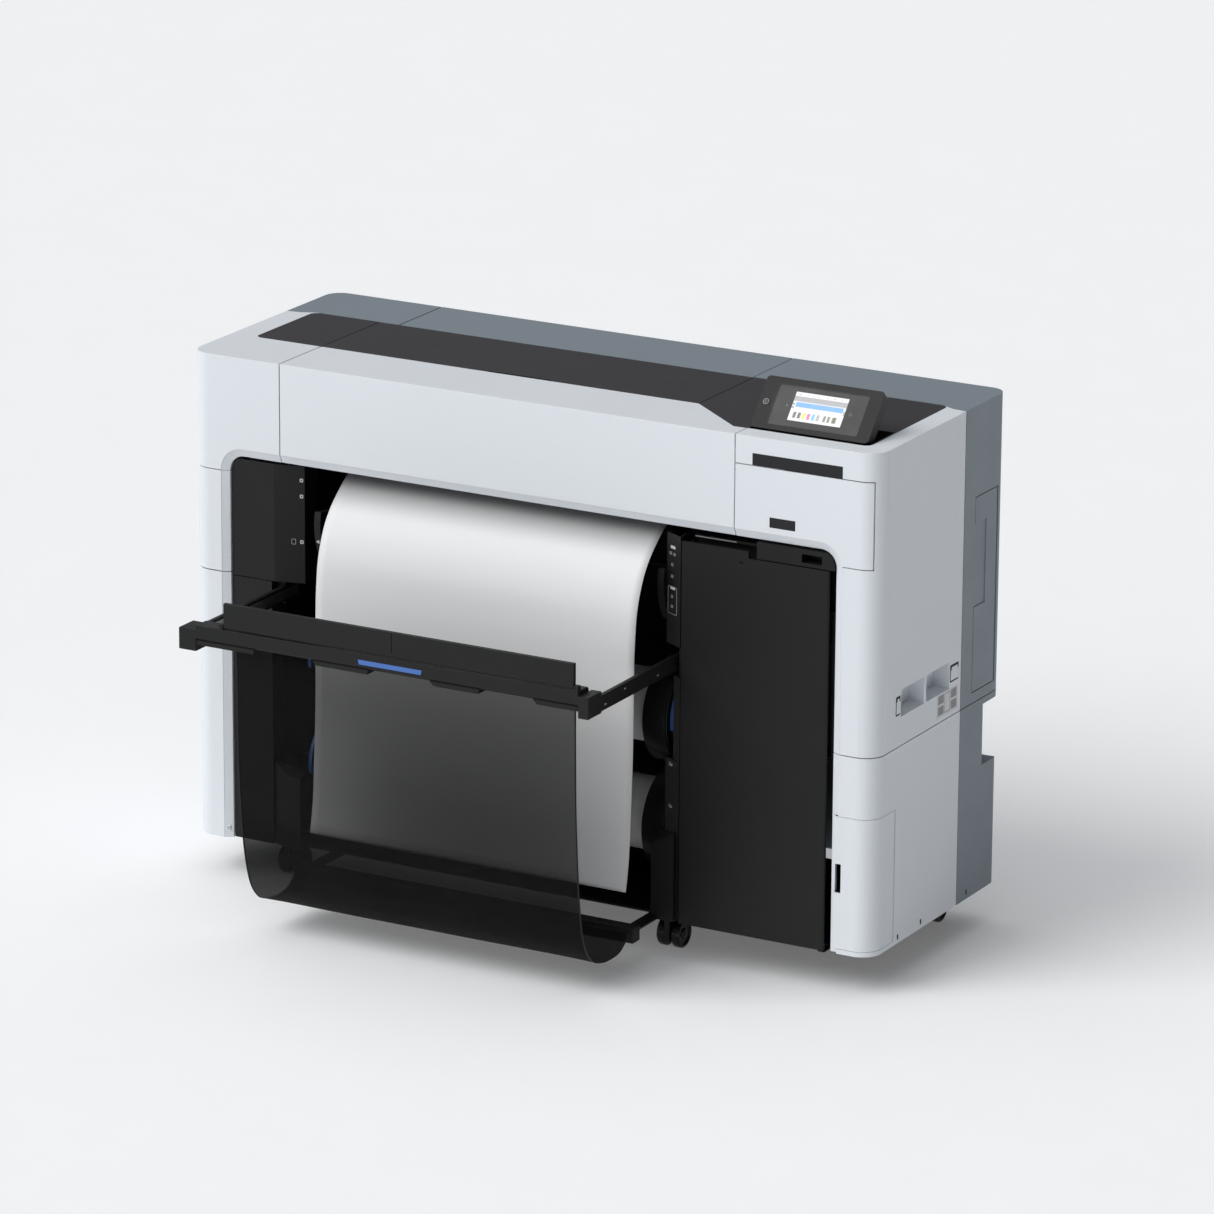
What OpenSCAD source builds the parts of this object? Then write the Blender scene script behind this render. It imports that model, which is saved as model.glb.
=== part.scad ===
// Floor-standing large format plotter with two media rolls and a catch basket.
// Millimetres. Z = 0 is the floor, X = 0 the middle of the width, and Y = 0 the
// middle of the depth that the body and the pulled-out basket take up together.

/* [Media] */
// Width of the roll media
media_w = 610; // [500:1:760]
// Radius of the media wound on each core
roll_r = 62; // [45:1:78]
// Radius of the media core
core_r = 38; // [30:1:40]

/* [Body] */
// Width of the body to the left of the media
left_end_w = 282.5; // [275:0.5:360]
// Width of the body to the right of the media
right_end_w = 412.5; // [405:0.5:500]
// Height of the body above its underside
body_h = 856; // [850:1:1100]
// Depth of the body
body_d = 470; // [440:1:600]
// Height of the body's underside above the floor
floor_gap = 70; // [66:1:90]
// Radius of the front corners
corner_r = 35; // [20:1:45]
// Radius of the rear corners
rear_r = 30; // [15:1:40]
// Wall thickness of the moulded covers
wall = 3; // [2:0.5:4]
// Width of the seams between covers
seam = 1.6; // [1:0.1:3]

/* [Front opening] */
// Distance from the body's left side to the opening
open_left = 73.5; // [65:0.5:80]
// Distance from the body's right side to the opening
open_right = 78.5; // [70:0.5:85]
// Distance from the top of the body to the opening
open_drop = 173; // [150:1:190]
// Corner radius of the opening
open_r = 28; // [15:1:35]
// Width of the sloping border around the opening
border_w = 14; // [8:1:18]
// Depth of the sloping border around the opening
border_d = 10; // [6:1:14]

/* [Top] */
// Distance from the body's left side to the front cover
cover_left = 176.5; // [165:0.5:190]
// Distance from the body's right side to the front cover
cover_right = 262.5; // [255:0.5:275]
// Depth of the white strip along the top's front
strip_d = 134; // [110:1:150]
// Distance from the rear of the body to the rear covers' front edge
rear_top_d = 142; // [120:1:150]
// Distance from the rear of the body to the rear side walls' front edge
rear_side_d = 158; // [145:1:170]

/* [Display] */
// Width of the display
display_w = 214; // [170:1:214]
// Height of the display along its face
display_h = 95; // [80:1:96]
// Thickness of the display
display_t = 20; // [14:1:22]
// Angle of the display's face from level
display_tilt = 49; // [30:1:60]

/* [Rolls] */
// Distance from the front to the roll axes
roll_y = 118; // [110:1:140]
// Height of the lower roll axis above the underside
lower_roll_z = 140; // [125:1:145]
// Distance from the top of the body to the upper roll axis
upper_roll_drop = 526; // [515:1:530]
// Radius of the roll flanges
flange_r = 88; // [80:1:92]
// Radius of the roll adapters' stub shafts
stub_r = 12; // [8:0.5:15]

/* [Basket] */
// Reach of the pulled-out basket ahead of the front
basket_reach = 300; // [290:1:380]
// Distance from the body's left side to the basket's left end
basket_left = 163.5; // [160:0.5:175]
// Distance from the body's right side to the basket's right end
basket_right = 364.5; // [364:0.5:372]
// Distance from the top of the body to the top of the basket arms
arm_drop = 393; // [388:1:398]
// Height of the basket arms
arm_h = 27; // [20:1:30]
// Height of the flap
flap_h = 44; // [30:1:60]

/* [Casters] */
// Radius of the caster wheels
wheel_r = 25; // [22:1:28]
// Width of each caster wheel
wheel_w = 17; // [12:1:20]
// Trail of the caster wheels behind their swivel
caster_trail = 14; // [8:1:18]

/* [Clearances] */
// Radial clearance of running fits
run_gap = 0.05; // [0.02:0.01:0.1]

/* [Hidden] */
$fn = 48;

body_w = media_w + left_end_w + right_end_w;
x_left = -body_w / 2;
x_right = body_w / 2;
front_y = (basket_reach - body_d) / 2;
paper_x0 = x_left + left_end_w;
paper_x1 = x_right - right_end_w;
open_x0 = x_left + open_left;
open_x1 = x_right - open_right;
open_z = body_h - open_drop;
cover_x0 = x_left + cover_left;
cover_x1 = x_right - cover_right;
split_y = body_d - rear_top_d;
split_side_y = body_d - rear_side_d;
half_seam = seam / 2;
arc_steps = 12;
top_t = 4;
rim_t = 3;

// Heights of the seams on the sides
left_seam_high = body_h - 201;
left_seam_low = body_h - 380;
hatch_top = body_h - 49;
hatch_bottom = body_h - 196;
right_seam = body_h - 514;
rear_seam_x = cover_x0 + 40;
hatch_x1 = x_right - 12.5;
hatch_d = 28;
corner_door_top = 237;
corner_door_depth = 80;
corner_door_bottom = 8;
corner_hinge_y = corner_door_depth - 4.2;
side_door_z0 = right_seam + 19;
side_door_z1 = body_h - 157;
side_door_y0 = split_side_y + 42;
side_door_y1 = body_d - rear_r - 2;
side_hinge_y = side_door_y1 - 4.2;

// Hinge of the front cover and the grip slot in its dark panel
panel_x1 = cover_x1 - 140;
hinge_in = 4;
hinge_r = 1.5;
grip_w = 121;
grip_x = (paper_x0 + paper_x1) / 2 - 87;

// Upright hinges of the doors
bead_r = 2.5;
bead_in = 2.6;
door_pin_r = 1;
door_pin_l = 8;
hinge_x = x_right - bead_in;

// Roll bay
plate_t = 3;
bay_x0 = x_left + 152.5;
bay_x1 = x_right - 359.5;
bay_back = 300;
panel_y = border_d;
tray_z0 = 0.5;
tray_z1 = 4;
post_z0 = tray_z1 + 0.3;
post_w = 35;
post_narrow_w = 16;
post_back = 18;
post_low_z = body_h - 575;
upper_roll_z = body_h - upper_roll_drop;
flange_t = 6;
flange_gap = 2;
cup_d = 36;
cup_t = 4;
left_lever_x = paper_x0 - 82;
right_lever_x = paper_x1 + 9.3;
lever_t = 7;
cradle_w = 27;
cradle_h = 22;

// Basket
basket_x0 = x_left + basket_left;
basket_x1 = x_right - basket_right;
arm_z1 = body_h - arm_drop;
arm_z0 = arm_z1 - arm_h;
arm_t = 8;
arm_inset = 4;
arm_back = 64;
slide_gap = 0.6;
rail_back = 296;
cap_left_w = 33;
cap_right_w = 19;
cap_d = 44;
bar_z0 = arm_z0 + 19;
bar_z1 = arm_z1 + 18;
bar_d = 36;
flap_t = 8;
flap_axis_z = bar_z1 + 5;
flap_r = 4;
flap_pin_r = 2;
flap_lug = 8;
flap_x0 = paper_x0 - 32;
flap_x1 = paper_x1 + 20;
flap_split_x = (paper_x0 + paper_x1) / 2 - 15;

// Catch cloth and media web, as outlines seen from the side
cloth_t = 1.2;
cloth_x0 = paper_x0 - 20;
cloth_x1 = paper_x1 + 14;
cloth_top_y = -basket_reach + 18;
cloth_r = 90;
cloth_low = -22;
cloth_mid_y = cloth_top_y + 110;
cloth_mid_z = cloth_low + cloth_r;
cloth_end_angle = 300;
cloth_end_y = cloth_mid_y + cloth_r * cos(cloth_end_angle) + 32;
cloth_end_z = cloth_mid_z + cloth_r * sin(cloth_end_angle) + 18;
rear_bar_y = cloth_end_y + 0.2;
rear_bar_z = -13;
rear_bar_d = 24;
rear_bar_h = 26;
web_t = 0.6;
web_hang_y = -60;
web_bend_r = 240;
web_bend_z = body_h - 386;
web_knee_z = body_h - 556;
web_exit_z = body_h - 184;
web_end_z = 70;

// Print path
platen_z = web_exit_z - 2;
platen_x0 = paper_x0 - 14;
platen_x1 = paper_x1 + 2;
platen_y = 62;
platen_back = 190;
platen_h = 30;
feed_r = 14;
feed_shaft_r = 6;
feed_y = 150;
feed_z = platen_z - feed_r + 3;
rail_y = 205;
rail_z = body_h - 150;
rail_h = 60;
rail_d = 24;
carriage_w = 140;
carriage_x1 = x_right - 84;
guide_y = 112;
guide_z = body_h - 276;
guide_r = 104;
guide_t = 12;
guide_shaft_r = 5;
guide_boss = 14;
guide_x0 = paper_x0 - 44;
guide_x1 = paper_x1 + 4;

// Display
display_x0 = cover_x1 + 2;
display_y = 46;
display_z = body_h + 2;
well_y1 = split_y - 190;
well_depth = 34;
display_pin_y = display_y + 10;
display_pin_z = body_h - 18;
pin_r = 3;
glass_x0 = 28;
glass_x1 = 24;
glass_low = 10;
glass_high = 12.5;
button_x = 13;
button_up = display_h / 2;
button_r = 5.6;

// Ink bay and cartridges
ink_x0 = bay_x1 + plate_t + 3;
ink_x1 = open_x1 - 6;
ink_front = 16;
cartridge_count = 6;
cartridge_pitch = (ink_x1 - ink_x0 - 2 * wall) / cartridge_count;
cartridge_gap = 2;
cartridge_z0 = 330;
cartridge_h = 240;
cartridge_front = 58;
cartridge_d = 210;
door_t = 6;
door_top = body_h - 195;
door_low_top = body_h - 207;
door_step_x = bay_x1 + 124;
door_x0 = bay_x1 + 0.8;
door_x1 = open_x1 - 10;
door_hinge_x = door_x1 - 4;
door_hinge_y = 4.1;

// Power inlet
inlet_x = x_left + 40;
inlet_w = 32;
inlet_z = 38;
inlet_h = 24;

// Casters
caster_front_x0 = x_left + 155.5;
caster_front_x1 = x_right - 406.5;
caster_rear_x0 = x_left + 92;
caster_rear_x1 = x_right - 92;
caster_front_y = 60;
caster_rear_y = body_d - 80;
swivel_pin_r = 5;
axle_r = 3;
hood_w = 10;

white = [0.86, 0.87, 0.89];
slate = [0.47, 0.51, 0.54];
dark = [0.22, 0.21, 0.22];
black = [0.13, 0.13, 0.13];
blue = [0.20, 0.38, 0.66];
steel = [0.62, 0.63, 0.65];

// Puts a piece drawn from the body's front face and underside into place
module place() {
  translate([0, front_y, floor_gap]) children();
}

module block(x0, x1, y0, y1, z0, z1) {
  translate([x0, y0, z0]) cube([x1 - x0, y1 - y0, z1 - z0]);
}

// Points of an arc of radius r about (cx, cy)
function arc(cx, cy, r, a0, a1) =
  [for (i = [0:arc_steps]) let (a = a0 + (a1 - a0) * i / arc_steps) [cx + r * cos(a), cy + r * sin(a)]];

// Outline of the body seen from above, drawn in by an inset
function body_outline(inset) = concat(
  arc(x_left + corner_r, corner_r, corner_r - inset, 180, 270),
  arc(x_right - corner_r, corner_r, corner_r - inset, 270, 360),
  arc(x_right - rear_r, body_d - rear_r, rear_r - inset, 0, 90),
  arc(x_left + rear_r, body_d - rear_r, rear_r - inset, 90, 180)
);

// Extrudes an outline given as (y, z) points along X
module along_x(x0, x1) {
  translate([x0, 0, 0]) rotate([90, 0, 90]) linear_extrude(x1 - x0) children();
}

// Extrudes an outline given as (x, z) points along Y
module along_y(y0, y1) {
  translate([0, y1, 0]) rotate([90, 0, 0]) linear_extrude(y1 - y0) children();
}

// Round bar along X
module rod(x0, x1, y, z, r) {
  translate([x0, y, z]) rotate([0, 90, 0]) cylinder(h = x1 - x0, r = r);
}

// Front opening, grown by a margin
module opening_outline(grow) {
  x0 = open_x0 - grow;
  x1 = open_x1 + grow;
  z1 = open_z + grow;
  r = open_r + grow;
  polygon(concat([[x1, -1]], arc(x1 - r, z1 - r, r, 0, 90), arc(x0 + r, z1 - r, r, 90, 180), [[x0, -1]]));
}

// Skin of the whole body with the front opening and the rim behind its border
module body_skin() {
  difference() {
    linear_extrude(body_h) polygon(body_outline(0));
    translate([0, 0, -1]) linear_extrude(body_h - top_t + 1) polygon(body_outline(wall));
    along_y(-1, wall + 1) opening_outline(border_w);
  }
  difference() {
    along_y(border_d - rim_t, border_d + rim_t) opening_outline(border_w + wall);
    along_y(0, border_d + rim_t + 1) opening_outline(0);
    translate([0, 0, -2]) linear_extrude(2) polygon(body_outline(0));
  }
  difference() {
    along_y(wall - 0.5, border_d) opening_outline(border_w + wall);
    along_y(0, border_d + 1) opening_outline(border_w);
    translate([0, 0, -2]) linear_extrude(2) polygon(body_outline(0));
  }
}

// Plan of everything behind the seam between the white and the slate covers
module rear_plan(shift) {
  turn = 52;
  polygon([
    [x_left - 1, split_side_y + shift], [x_left + turn / 2, split_side_y + shift + 4],
    [x_left + turn, split_y + shift], [x_right - turn, split_y + shift],
    [x_right - turn / 2, split_side_y + shift + 4], [x_right + 1, split_side_y + shift],
    [x_right + 1, body_d + 1], [x_left - 1, body_d + 1]
  ]);
}

module rear_zone(shift) {
  translate([0, 0, -1]) linear_extrude(body_h + 2) rear_plan(shift);
}

// Dark panel area on top of the left end
module top_left_plan(grow) {
  x0 = x_left + 46 - grow;
  r = 14;
  polygon(concat(
    arc(x0 + r, strip_d + r - grow, r, 180, 270),
    [[cover_x0 - half_seam + grow, strip_d - grow], [cover_x0 - half_seam + grow, split_y - half_seam + grow],
     [x0 + r, split_y - half_seam + grow]],
    arc(x0 + r, split_y - half_seam - r + grow, r, 90, 180)
  ));
}

// Dark panel area on top of the right end, around the display
module top_right_plan(grow) {
  x1 = x_right - 40 + grow;
  r = 14;
  front = display_y - 5 - grow;
  polygon(concat(
    [[cover_x1 + half_seam, front]],
    arc(x1 - r, front + r, r, 270, 360),
    arc(x1 - r, split_y - half_seam - r + grow, r, 0, 90),
    [[panel_x1 + half_seam - grow, split_y - half_seam + grow],
     [panel_x1 + half_seam - grow, strip_d],
     [cover_x1 - 24 + half_seam, front]]
  ));
}

module cut_top(depth) {
  translate([0, 0, body_h - depth]) linear_extrude(depth + 1) children();
}

module frame() {
  color(steel) place() {
    difference() {
      union() {
        block(x_left + 14, x_right - 14, 24, body_d - 60, tray_z0, tray_z1);
        block(bay_x0 - plate_t, bay_x0, 40, bay_back, 4, open_z - 24);
        block(bay_x1 + 0.5, bay_x1 + plate_t, 40, bay_back, 4, open_z - 24);
        block(bay_x0, bay_x1 + 0.5, bay_back - 4, bay_back, 4, open_z - 24);
        for (x = [caster_front_x0, caster_front_x1]) rod_z(x, caster_front_y, 12, tray_z1, 18);
        for (x = [caster_rear_x0, caster_rear_x1]) rod_z(x, caster_rear_y, 12, tray_z1, 18);
        block(door_hinge_x - 6, door_hinge_x + 6, 0.5, 32, -2.5, -0.4);
        block(door_hinge_x - 6, door_hinge_x + 6, 24, 32, -0.4, 0.5);
        rod_z(door_hinge_x, door_hinge_y, hinge_r, -0.4, 12);
      }
      for (x = [caster_front_x0, caster_front_x1]) rod_z(x, caster_front_y, swivel_pin_r + run_gap, -1, 40);
      for (x = [caster_rear_x0, caster_rear_x1]) rod_z(x, caster_rear_y, swivel_pin_r + run_gap, -1, 40);
    }
    for (z = [lower_roll_z, upper_roll_z]) {
      cradle(bay_x0, bay_x0 + cradle_w, z);
      cradle(bay_x1 + 0.5 - cradle_w, bay_x1 + 0.5, z);
    }
    for (x = [bay_x0, bay_x1 + 0.5 - guide_boss]) {
      difference() {
        translate([x, guide_y - guide_boss, guide_z - guide_boss]) {
          cube([guide_boss, 2 * guide_boss, 2 * guide_boss]);
        }
        rod(x - 1, x + guide_boss + 1, guide_y, guide_z, guide_shaft_r + run_gap);
      }
    }
  }
}

// Half-round seat that a roll adapter's stub shaft turns in
module cradle(x0, x1, z) {
  difference() {
    block(x0, x1, roll_y - cradle_h, roll_y + cradle_h, z - cradle_h, z);
    rod(x0 - 1, x1 + 1, roll_y, z, stub_r + run_gap);
  }
}

module left_cover_upper() {
  color(white) place() difference() {
    intersection() {
      body_skin();
      block(x_left - 1, cover_x0 - half_seam, -1, body_d, left_seam_high + half_seam, body_h + 1);
    }
    rear_zone(-half_seam);
    cut_top(top_t + 1) top_left_plan(0.4);
  }
}

module left_cover_middle() {
  color(white) place() difference() {
    intersection() {
      body_skin();
      block(x_left - 1, open_x0 + 1, -1, body_d, left_seam_low + half_seam, left_seam_high - half_seam);
    }
    rear_zone(-half_seam);
  }
}

module left_cover_lower() {
  color(white) place() difference() {
    intersection() {
      body_skin();
      block(x_left - 1, open_x0 + 1, -1, body_d, 0, left_seam_low - half_seam);
    }
    rear_zone(-half_seam);
  }
}

// Zone of the hatch around the upper right corner
module hatch_zone(grow) {
  block(cover_x1, hatch_x1 + grow, -1, hatch_d, hatch_bottom - grow, hatch_top + grow);
}

// Carrying grip in the right side: two pockets between two clips
module grip_pockets() {
  for (y = [66, 158]) {
    block(x_right - 30, x_right + 1, y + 26, y + 26 + 84, right_seam + 50, right_seam + 96);
  }
}

module right_cover() {
  color(white) place() {
    difference() {
      intersection() {
        body_skin();
        block(cover_x1 + half_seam, x_right + 1, -1, body_d, right_seam + half_seam, body_h + 1);
      }
      rear_zone(-half_seam);
      cut_top(top_t + 1) top_right_plan(0.4);
      hatch_zone(half_seam);
      grip_pockets();
    }
    difference() {
      block(x_right - 33, x_right - wall, 84, 276, right_seam + 44, right_seam + 102);
      grip_pockets();
    }
  }
}

module right_hatch_cover() {
  color(white) place() intersection() {
    body_skin();
    hatch_zone(-half_seam);
    block(cover_x1 + half_seam, x_right, -1, hatch_d, 0, body_h);
  }
}

module right_cover_lower() {
  color(white) place() {
    difference() {
      intersection() {
        body_skin();
        block(open_x1 - 1, x_right + 1, -1, body_d, 0, right_seam - half_seam);
      }
      rear_zone(-half_seam);
      block(open_x1 + border_w - 8, x_right + 1, -2, corner_door_depth, corner_door_bottom, corner_door_top);
    }
    door_pins(corner_hinge_y, corner_door_bottom, corner_door_top);
  }
}

// Upper and lower hinge pins of a door that ends at the right side
module door_pins(y, z0, z1) {
  rod_z(hinge_x, y, door_pin_r, z0 - 5, z0 + door_pin_l);
  rod_z(hinge_x, y, door_pin_r, z1 - door_pin_l, z1 + 5);
}

module corner_door() {
  notch_z = 105;
  color(white) place() {
    difference() {
      linear_extrude_between(corner_door_bottom + half_seam, corner_door_top - half_seam) {
        difference() {
          polygon(body_outline(0));
          polygon(body_outline(wall));
        }
      }
      block(x_left - 1, open_x1 + border_w - 8 + half_seam, -1, body_d, 0, body_h);
      block(x_left - 1, x_right + 1, corner_hinge_y, body_d + 1, 0, body_h);
      block(0, open_x1 + border_w + 6, -1, 40, notch_z, notch_z + 50);
      rod_z(hinge_x, corner_hinge_y, door_pin_r + run_gap, 0, body_h);
    }
    difference() {
      rod_z(hinge_x, corner_hinge_y, bead_r, corner_door_bottom + half_seam, corner_door_top - half_seam);
      rod_z(hinge_x, corner_hinge_y, door_pin_r + run_gap, 0, body_h);
    }
  }
}

module linear_extrude_between(z0, z1) {
  translate([0, 0, z0]) linear_extrude(z1 - z0) children();
}

// Round bar along Z
module rod_z(x, y, r, z0, z1) {
  translate([x, y, z0]) cylinder(h = z1 - z0, r = r);
}

module top_panel_left() {
  x = cover_x0 - half_seam;
  color(dark) place() {
    translate([0, 0, body_h - top_t]) linear_extrude(top_t - 0.6) top_left_plan(0);
    rod(x - 8, x + seam + 5, split_y - hinge_in, body_h - hinge_in, hinge_r);
  }
}

module top_panel_right() {
  x0 = display_x0 - 1;
  x1 = display_x0 + display_w + 5;
  color(dark) place() {
    difference() {
      union() {
        translate([0, 0, body_h - top_t]) linear_extrude(top_t - 0.6) top_right_plan(0);
        block(x0 - 2, x1, display_y - 5, well_y1 + 2, body_h - well_depth - 2, body_h - top_t);
      }
      block(x0, x1 - 2, display_y - 3, well_y1, body_h - well_depth, body_h + 1);
    }
    rod(panel_x1 - half_seam - 5, panel_x1 + half_seam + 8, split_y - hinge_in, body_h - hinge_in, hinge_r);
    difference() {
      for (x = [x0 + 40, x1 - 62]) {
        block(x, x + 20, display_pin_y - 8, display_pin_y + 6, body_h - well_depth, display_pin_z + 5);
      }
      rod(x0, x1, display_pin_y, display_pin_z, pin_r + run_gap);
    }
  }
}

// Frame of the tilted display: x along its width, y up its face, z out of it
module on_display() {
  translate([display_x0, display_y, display_z]) rotate([display_tilt, 0, 0]) children();
}

module display_housing() {
  x0 = display_x0 - 1;
  x1 = display_x0 + display_w + 5;
  color(black) place() difference() {
    union() {
      on_display() difference() {
        linear_extrude_between(-display_t, 0) rounded_box_plan(0, display_w, 0, display_h, 7);
        linear_extrude_between(-2, 1) glass_plan(0);
        translate([button_x, button_up, -3]) cylinder(h = 4, r = button_r + 0.4);
      }
      for (x = [x0 + 61, x1 - 75]) {
        along_x(x, x + 12) polygon(concat(
          arc(display_pin_y, display_pin_z, 6, 180, 360),
          [[display_pin_y + 6, body_h + 2], [display_pin_y + 12, body_h + 16], [display_pin_y, body_h + 10]]
        ));
      }
      rod(x0 + 44, x1 - 46, display_pin_y, display_pin_z, pin_r);
    }
    on_display() translate([0, 0, -0.01]) linear_extrude(20) rounded_box_plan(0, display_w, 0, display_h, 7);
  }
}

module rounded_box_plan(x0, x1, y0, y1, r) {
  polygon(concat(
    arc(x0 + r, y0 + r, r, 180, 270), arc(x1 - r, y0 + r, r, 270, 360),
    arc(x1 - r, y1 - r, r, 0, 90), arc(x0 + r, y1 - r, r, 90, 180)
  ));
}

// Glass of the display, drawn in by an inset
module glass_plan(inset) {
  rounded_box_plan(
    glass_x0 + inset, display_w - glass_x1 - inset, glass_low + inset, display_h - glass_high - inset, 3
  );
}

module display_screen() {
  color([0.16, 0.16, 0.17]) place() on_display() {
    linear_extrude_between(-2, -0.4) glass_plan(0.3);
  }
}

module power_button() {
  color(black) place() on_display() translate([button_x, button_up, -1.2]) cylinder(h = 1.8, r = button_r);
}

module front_cover() {
  color(white) place() difference() {
    intersection() {
      body_skin();
      block(cover_x0 + half_seam, cover_x1 - half_seam, -1, strip_d, open_z - 1, body_h + 1);
    }
    cut_top(top_t + 1) polygon([
      [panel_x1 - half_seam, strip_d + 1], [cover_x1 - 24 - half_seam, display_y - 6],
      [cover_x1 + 5, display_y - 6], [cover_x1 + 5, strip_d + 1]
    ]);
  }
}

module front_cover_panel() {
  rail_w = 6;
  x0 = cover_x0 + half_seam;
  x1 = panel_x1 - half_seam;
  color(dark) place() difference() {
    union() {
      block(x0, x1, strip_d + 0.2, split_y - 1.8, body_h - top_t, body_h - 0.6);
      for (x = [x0, x1 - rail_w]) {
        block(x, x + rail_w, strip_d + 0.2, split_y - 1.8, body_h - 14, body_h - top_t);
      }
    }
    rod(x0 - 1, x0 + rail_w + 1, split_y - hinge_in, body_h - hinge_in, hinge_r + run_gap);
    rod(x1 - rail_w - 1, x1 + 1, split_y - hinge_in, body_h - hinge_in, hinge_r + run_gap);
    block(grip_x, grip_x + grip_w, strip_d - 1, strip_d + 9, body_h - 2.6, body_h + 1);
  }
}

module rear_slice(x0, x1, z0, z1) {
  intersection() {
    difference() {
      linear_extrude(body_h) polygon(body_outline(0));
      translate([0, 0, -1]) linear_extrude(body_h - top_t + 1) polygon(body_outline(wall));
    }
    rear_zone(half_seam);
    block(x0, x1, 0, body_d + 1, z0, z1);
  }
}

module rear_cover_left() {
  color(slate) place() rear_slice(x_left - 1, rear_seam_x - half_seam, right_seam + half_seam, body_h + 1);
}

module rear_cover_middle() {
  color(slate) place() {
    rear_slice(rear_seam_x + half_seam, panel_x1 - half_seam, right_seam + half_seam, body_h + 1);
  }
}

// Zone of the door in the right rear side
module side_door_zone(grow) {
  linear_extrude_between(side_door_z0 - grow, side_door_z1 + grow) {
    polygon([
      [x_right - 20, side_door_y0 - grow], [x_right + 1, side_door_y0 - grow],
      [x_right + 1, side_door_y1 + grow], [x_right - 20, side_door_y1 + grow]
    ]);
  }
}

module rear_cover_right() {
  color(slate) place() {
    difference() {
      rear_slice(panel_x1 + half_seam, x_right + 1, right_seam + half_seam, body_h + 1);
      side_door_zone(half_seam);
    }
    door_pins(side_hinge_y, side_door_z0 - half_seam, side_door_z1 + half_seam);
  }
}

module side_door() {
  z0 = side_door_z0 + half_seam;
  z1 = side_door_z1 - half_seam;
  color(slate) place() difference() {
    union() {
      block(x_right - wall, x_right, side_door_y0 + half_seam, side_hinge_y, z0, z1);
      rod_z(hinge_x, side_hinge_y, bead_r, z0, z1);
    }
    rod_z(hinge_x, side_hinge_y, door_pin_r + run_gap, z0 - 1, z1 + 1);
    translate([x_right - 1.5, side_door_y0, side_door_z0 + 148]) cube([3, 42, 144]);
  }
}

module rear_cover_lower() {
  notch_y = body_d - 72;
  notch_z0 = 223;
  notch_z1 = 330;
  shoulder = 24;
  color(slate) place() difference() {
    intersection() {
      linear_extrude(right_seam - half_seam) polygon(body_outline(0));
      rear_zone(half_seam);
      along_x(x_left - 1, x_right + 1) polygon(concat(
        [[0, 0], [body_d, 0]],
        arc(body_d - shoulder, notch_z0 - shoulder, shoulder, 0, 90),
        [[notch_y, notch_z0], [notch_y, notch_z1], [body_d, notch_z1], [body_d, body_h], [0, body_h]]
      ));
    }
    intersection() {
      translate([0, 0, -1]) linear_extrude(body_h) polygon(body_outline(wall));
      along_x(x_left, x_right) polygon(concat(
        [[0, -1], [body_d - wall, -1]],
        arc(body_d - shoulder, notch_z0 - shoulder, shoulder - wall, 0, 90),
        [[notch_y - wall, notch_z0 - wall], [notch_y - wall, notch_z1 + wall],
         [body_d - wall, notch_z1 + wall], [body_d - wall, body_h], [0, body_h]]
      ));
    }
    inlet_zone(0.4);
  }
}

module ink_door() {
  color(black) place() difference() {
    union() {
      block(door_x0, door_step_x, 0, door_t, 0, door_top);
      block(door_step_x, door_hinge_x, 0, door_t, 0, door_low_top);
      rod_z(door_hinge_x, door_hinge_y, 4, 0, door_low_top);
    }
    rod_z(door_hinge_x, door_hinge_y, hinge_r + run_gap, -1, body_h);
    block(door_step_x - 16, door_step_x - 8, -1, 2, door_top - 22, door_top - 18);
  }
}

module bay_panel_left() {
  z0 = left_seam_low - 5;
  z1 = open_z - 6;
  t = 4;
  side = bay_x0 + 58;
  color(black) place() intersection() {
    linear_extrude_between(z0, z1) polygon([
      [open_x0 + 1.5, panel_y], [bay_x0 + 6, panel_y], [side, panel_y + 14], [side, 66], [side - t, 66],
      [side - t, panel_y + 17], [bay_x0 + 5, panel_y + t], [open_x0 + 1.5 + t, panel_y + t],
      [open_x0 + 1.5 + t, 60], [open_x0 + 1.5, 60]
    ]);
    along_y(-1, 100) opening_outline(-1.5);
  }
}

module bay_post_left() {
  t = 4;
  z1 = left_seam_low - 6.5;
  color(black) place() {
    block(open_x0 + 1.5, bay_x0, panel_y, panel_y + t, 1, z1);
    block(bay_x0 - t, bay_x0, panel_y + t, 39.5, post_z0, z1);
    block(open_x0 + 1.5, open_x0 + 1.5 + t, panel_y + t, 60, post_z0, z1);
    difference() {
      block(bay_x0, basket_x0 + arm_inset - slide_gap, 30, rail_back, arm_z0 - 8, arm_z1 + 6);
      block(bay_x0 + 2, basket_x0 + arm_inset, 41, rail_back + 1, arm_z0 - 4, arm_z1 + 2);
    }
  }
}

// Stretch of the right post, which slants back as it goes left
module post_slant(z0, z1) {
  t = 4;
  x1 = bay_x1 - 1;
  x0 = x1 - post_w;
  linear_extrude_between(z0, z1) polygon([
    [x1, 0], [x1, 38], [x1 - t, 38], [x1 - t, t + 0.5],
    [x0 + t, post_back + t], [x0 + t, 40], [x0, 40], [x0, post_back]
  ]);
}

// Narrow stretch of the right post beside the levers, set back a little
module post_narrow(z0, z1) {
  t = 4;
  x1 = bay_x1 - 1;
  x0 = x1 - post_narrow_w;
  front = 1.2;
  back = front + post_back * post_narrow_w / post_w;
  linear_extrude_between(z0, z1) polygon([
    [x1, front], [x1, 38], [x1 - t, 38], [x1 - t, back + 6], [x0, back + 6], [x0, back]
  ]);
}

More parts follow.
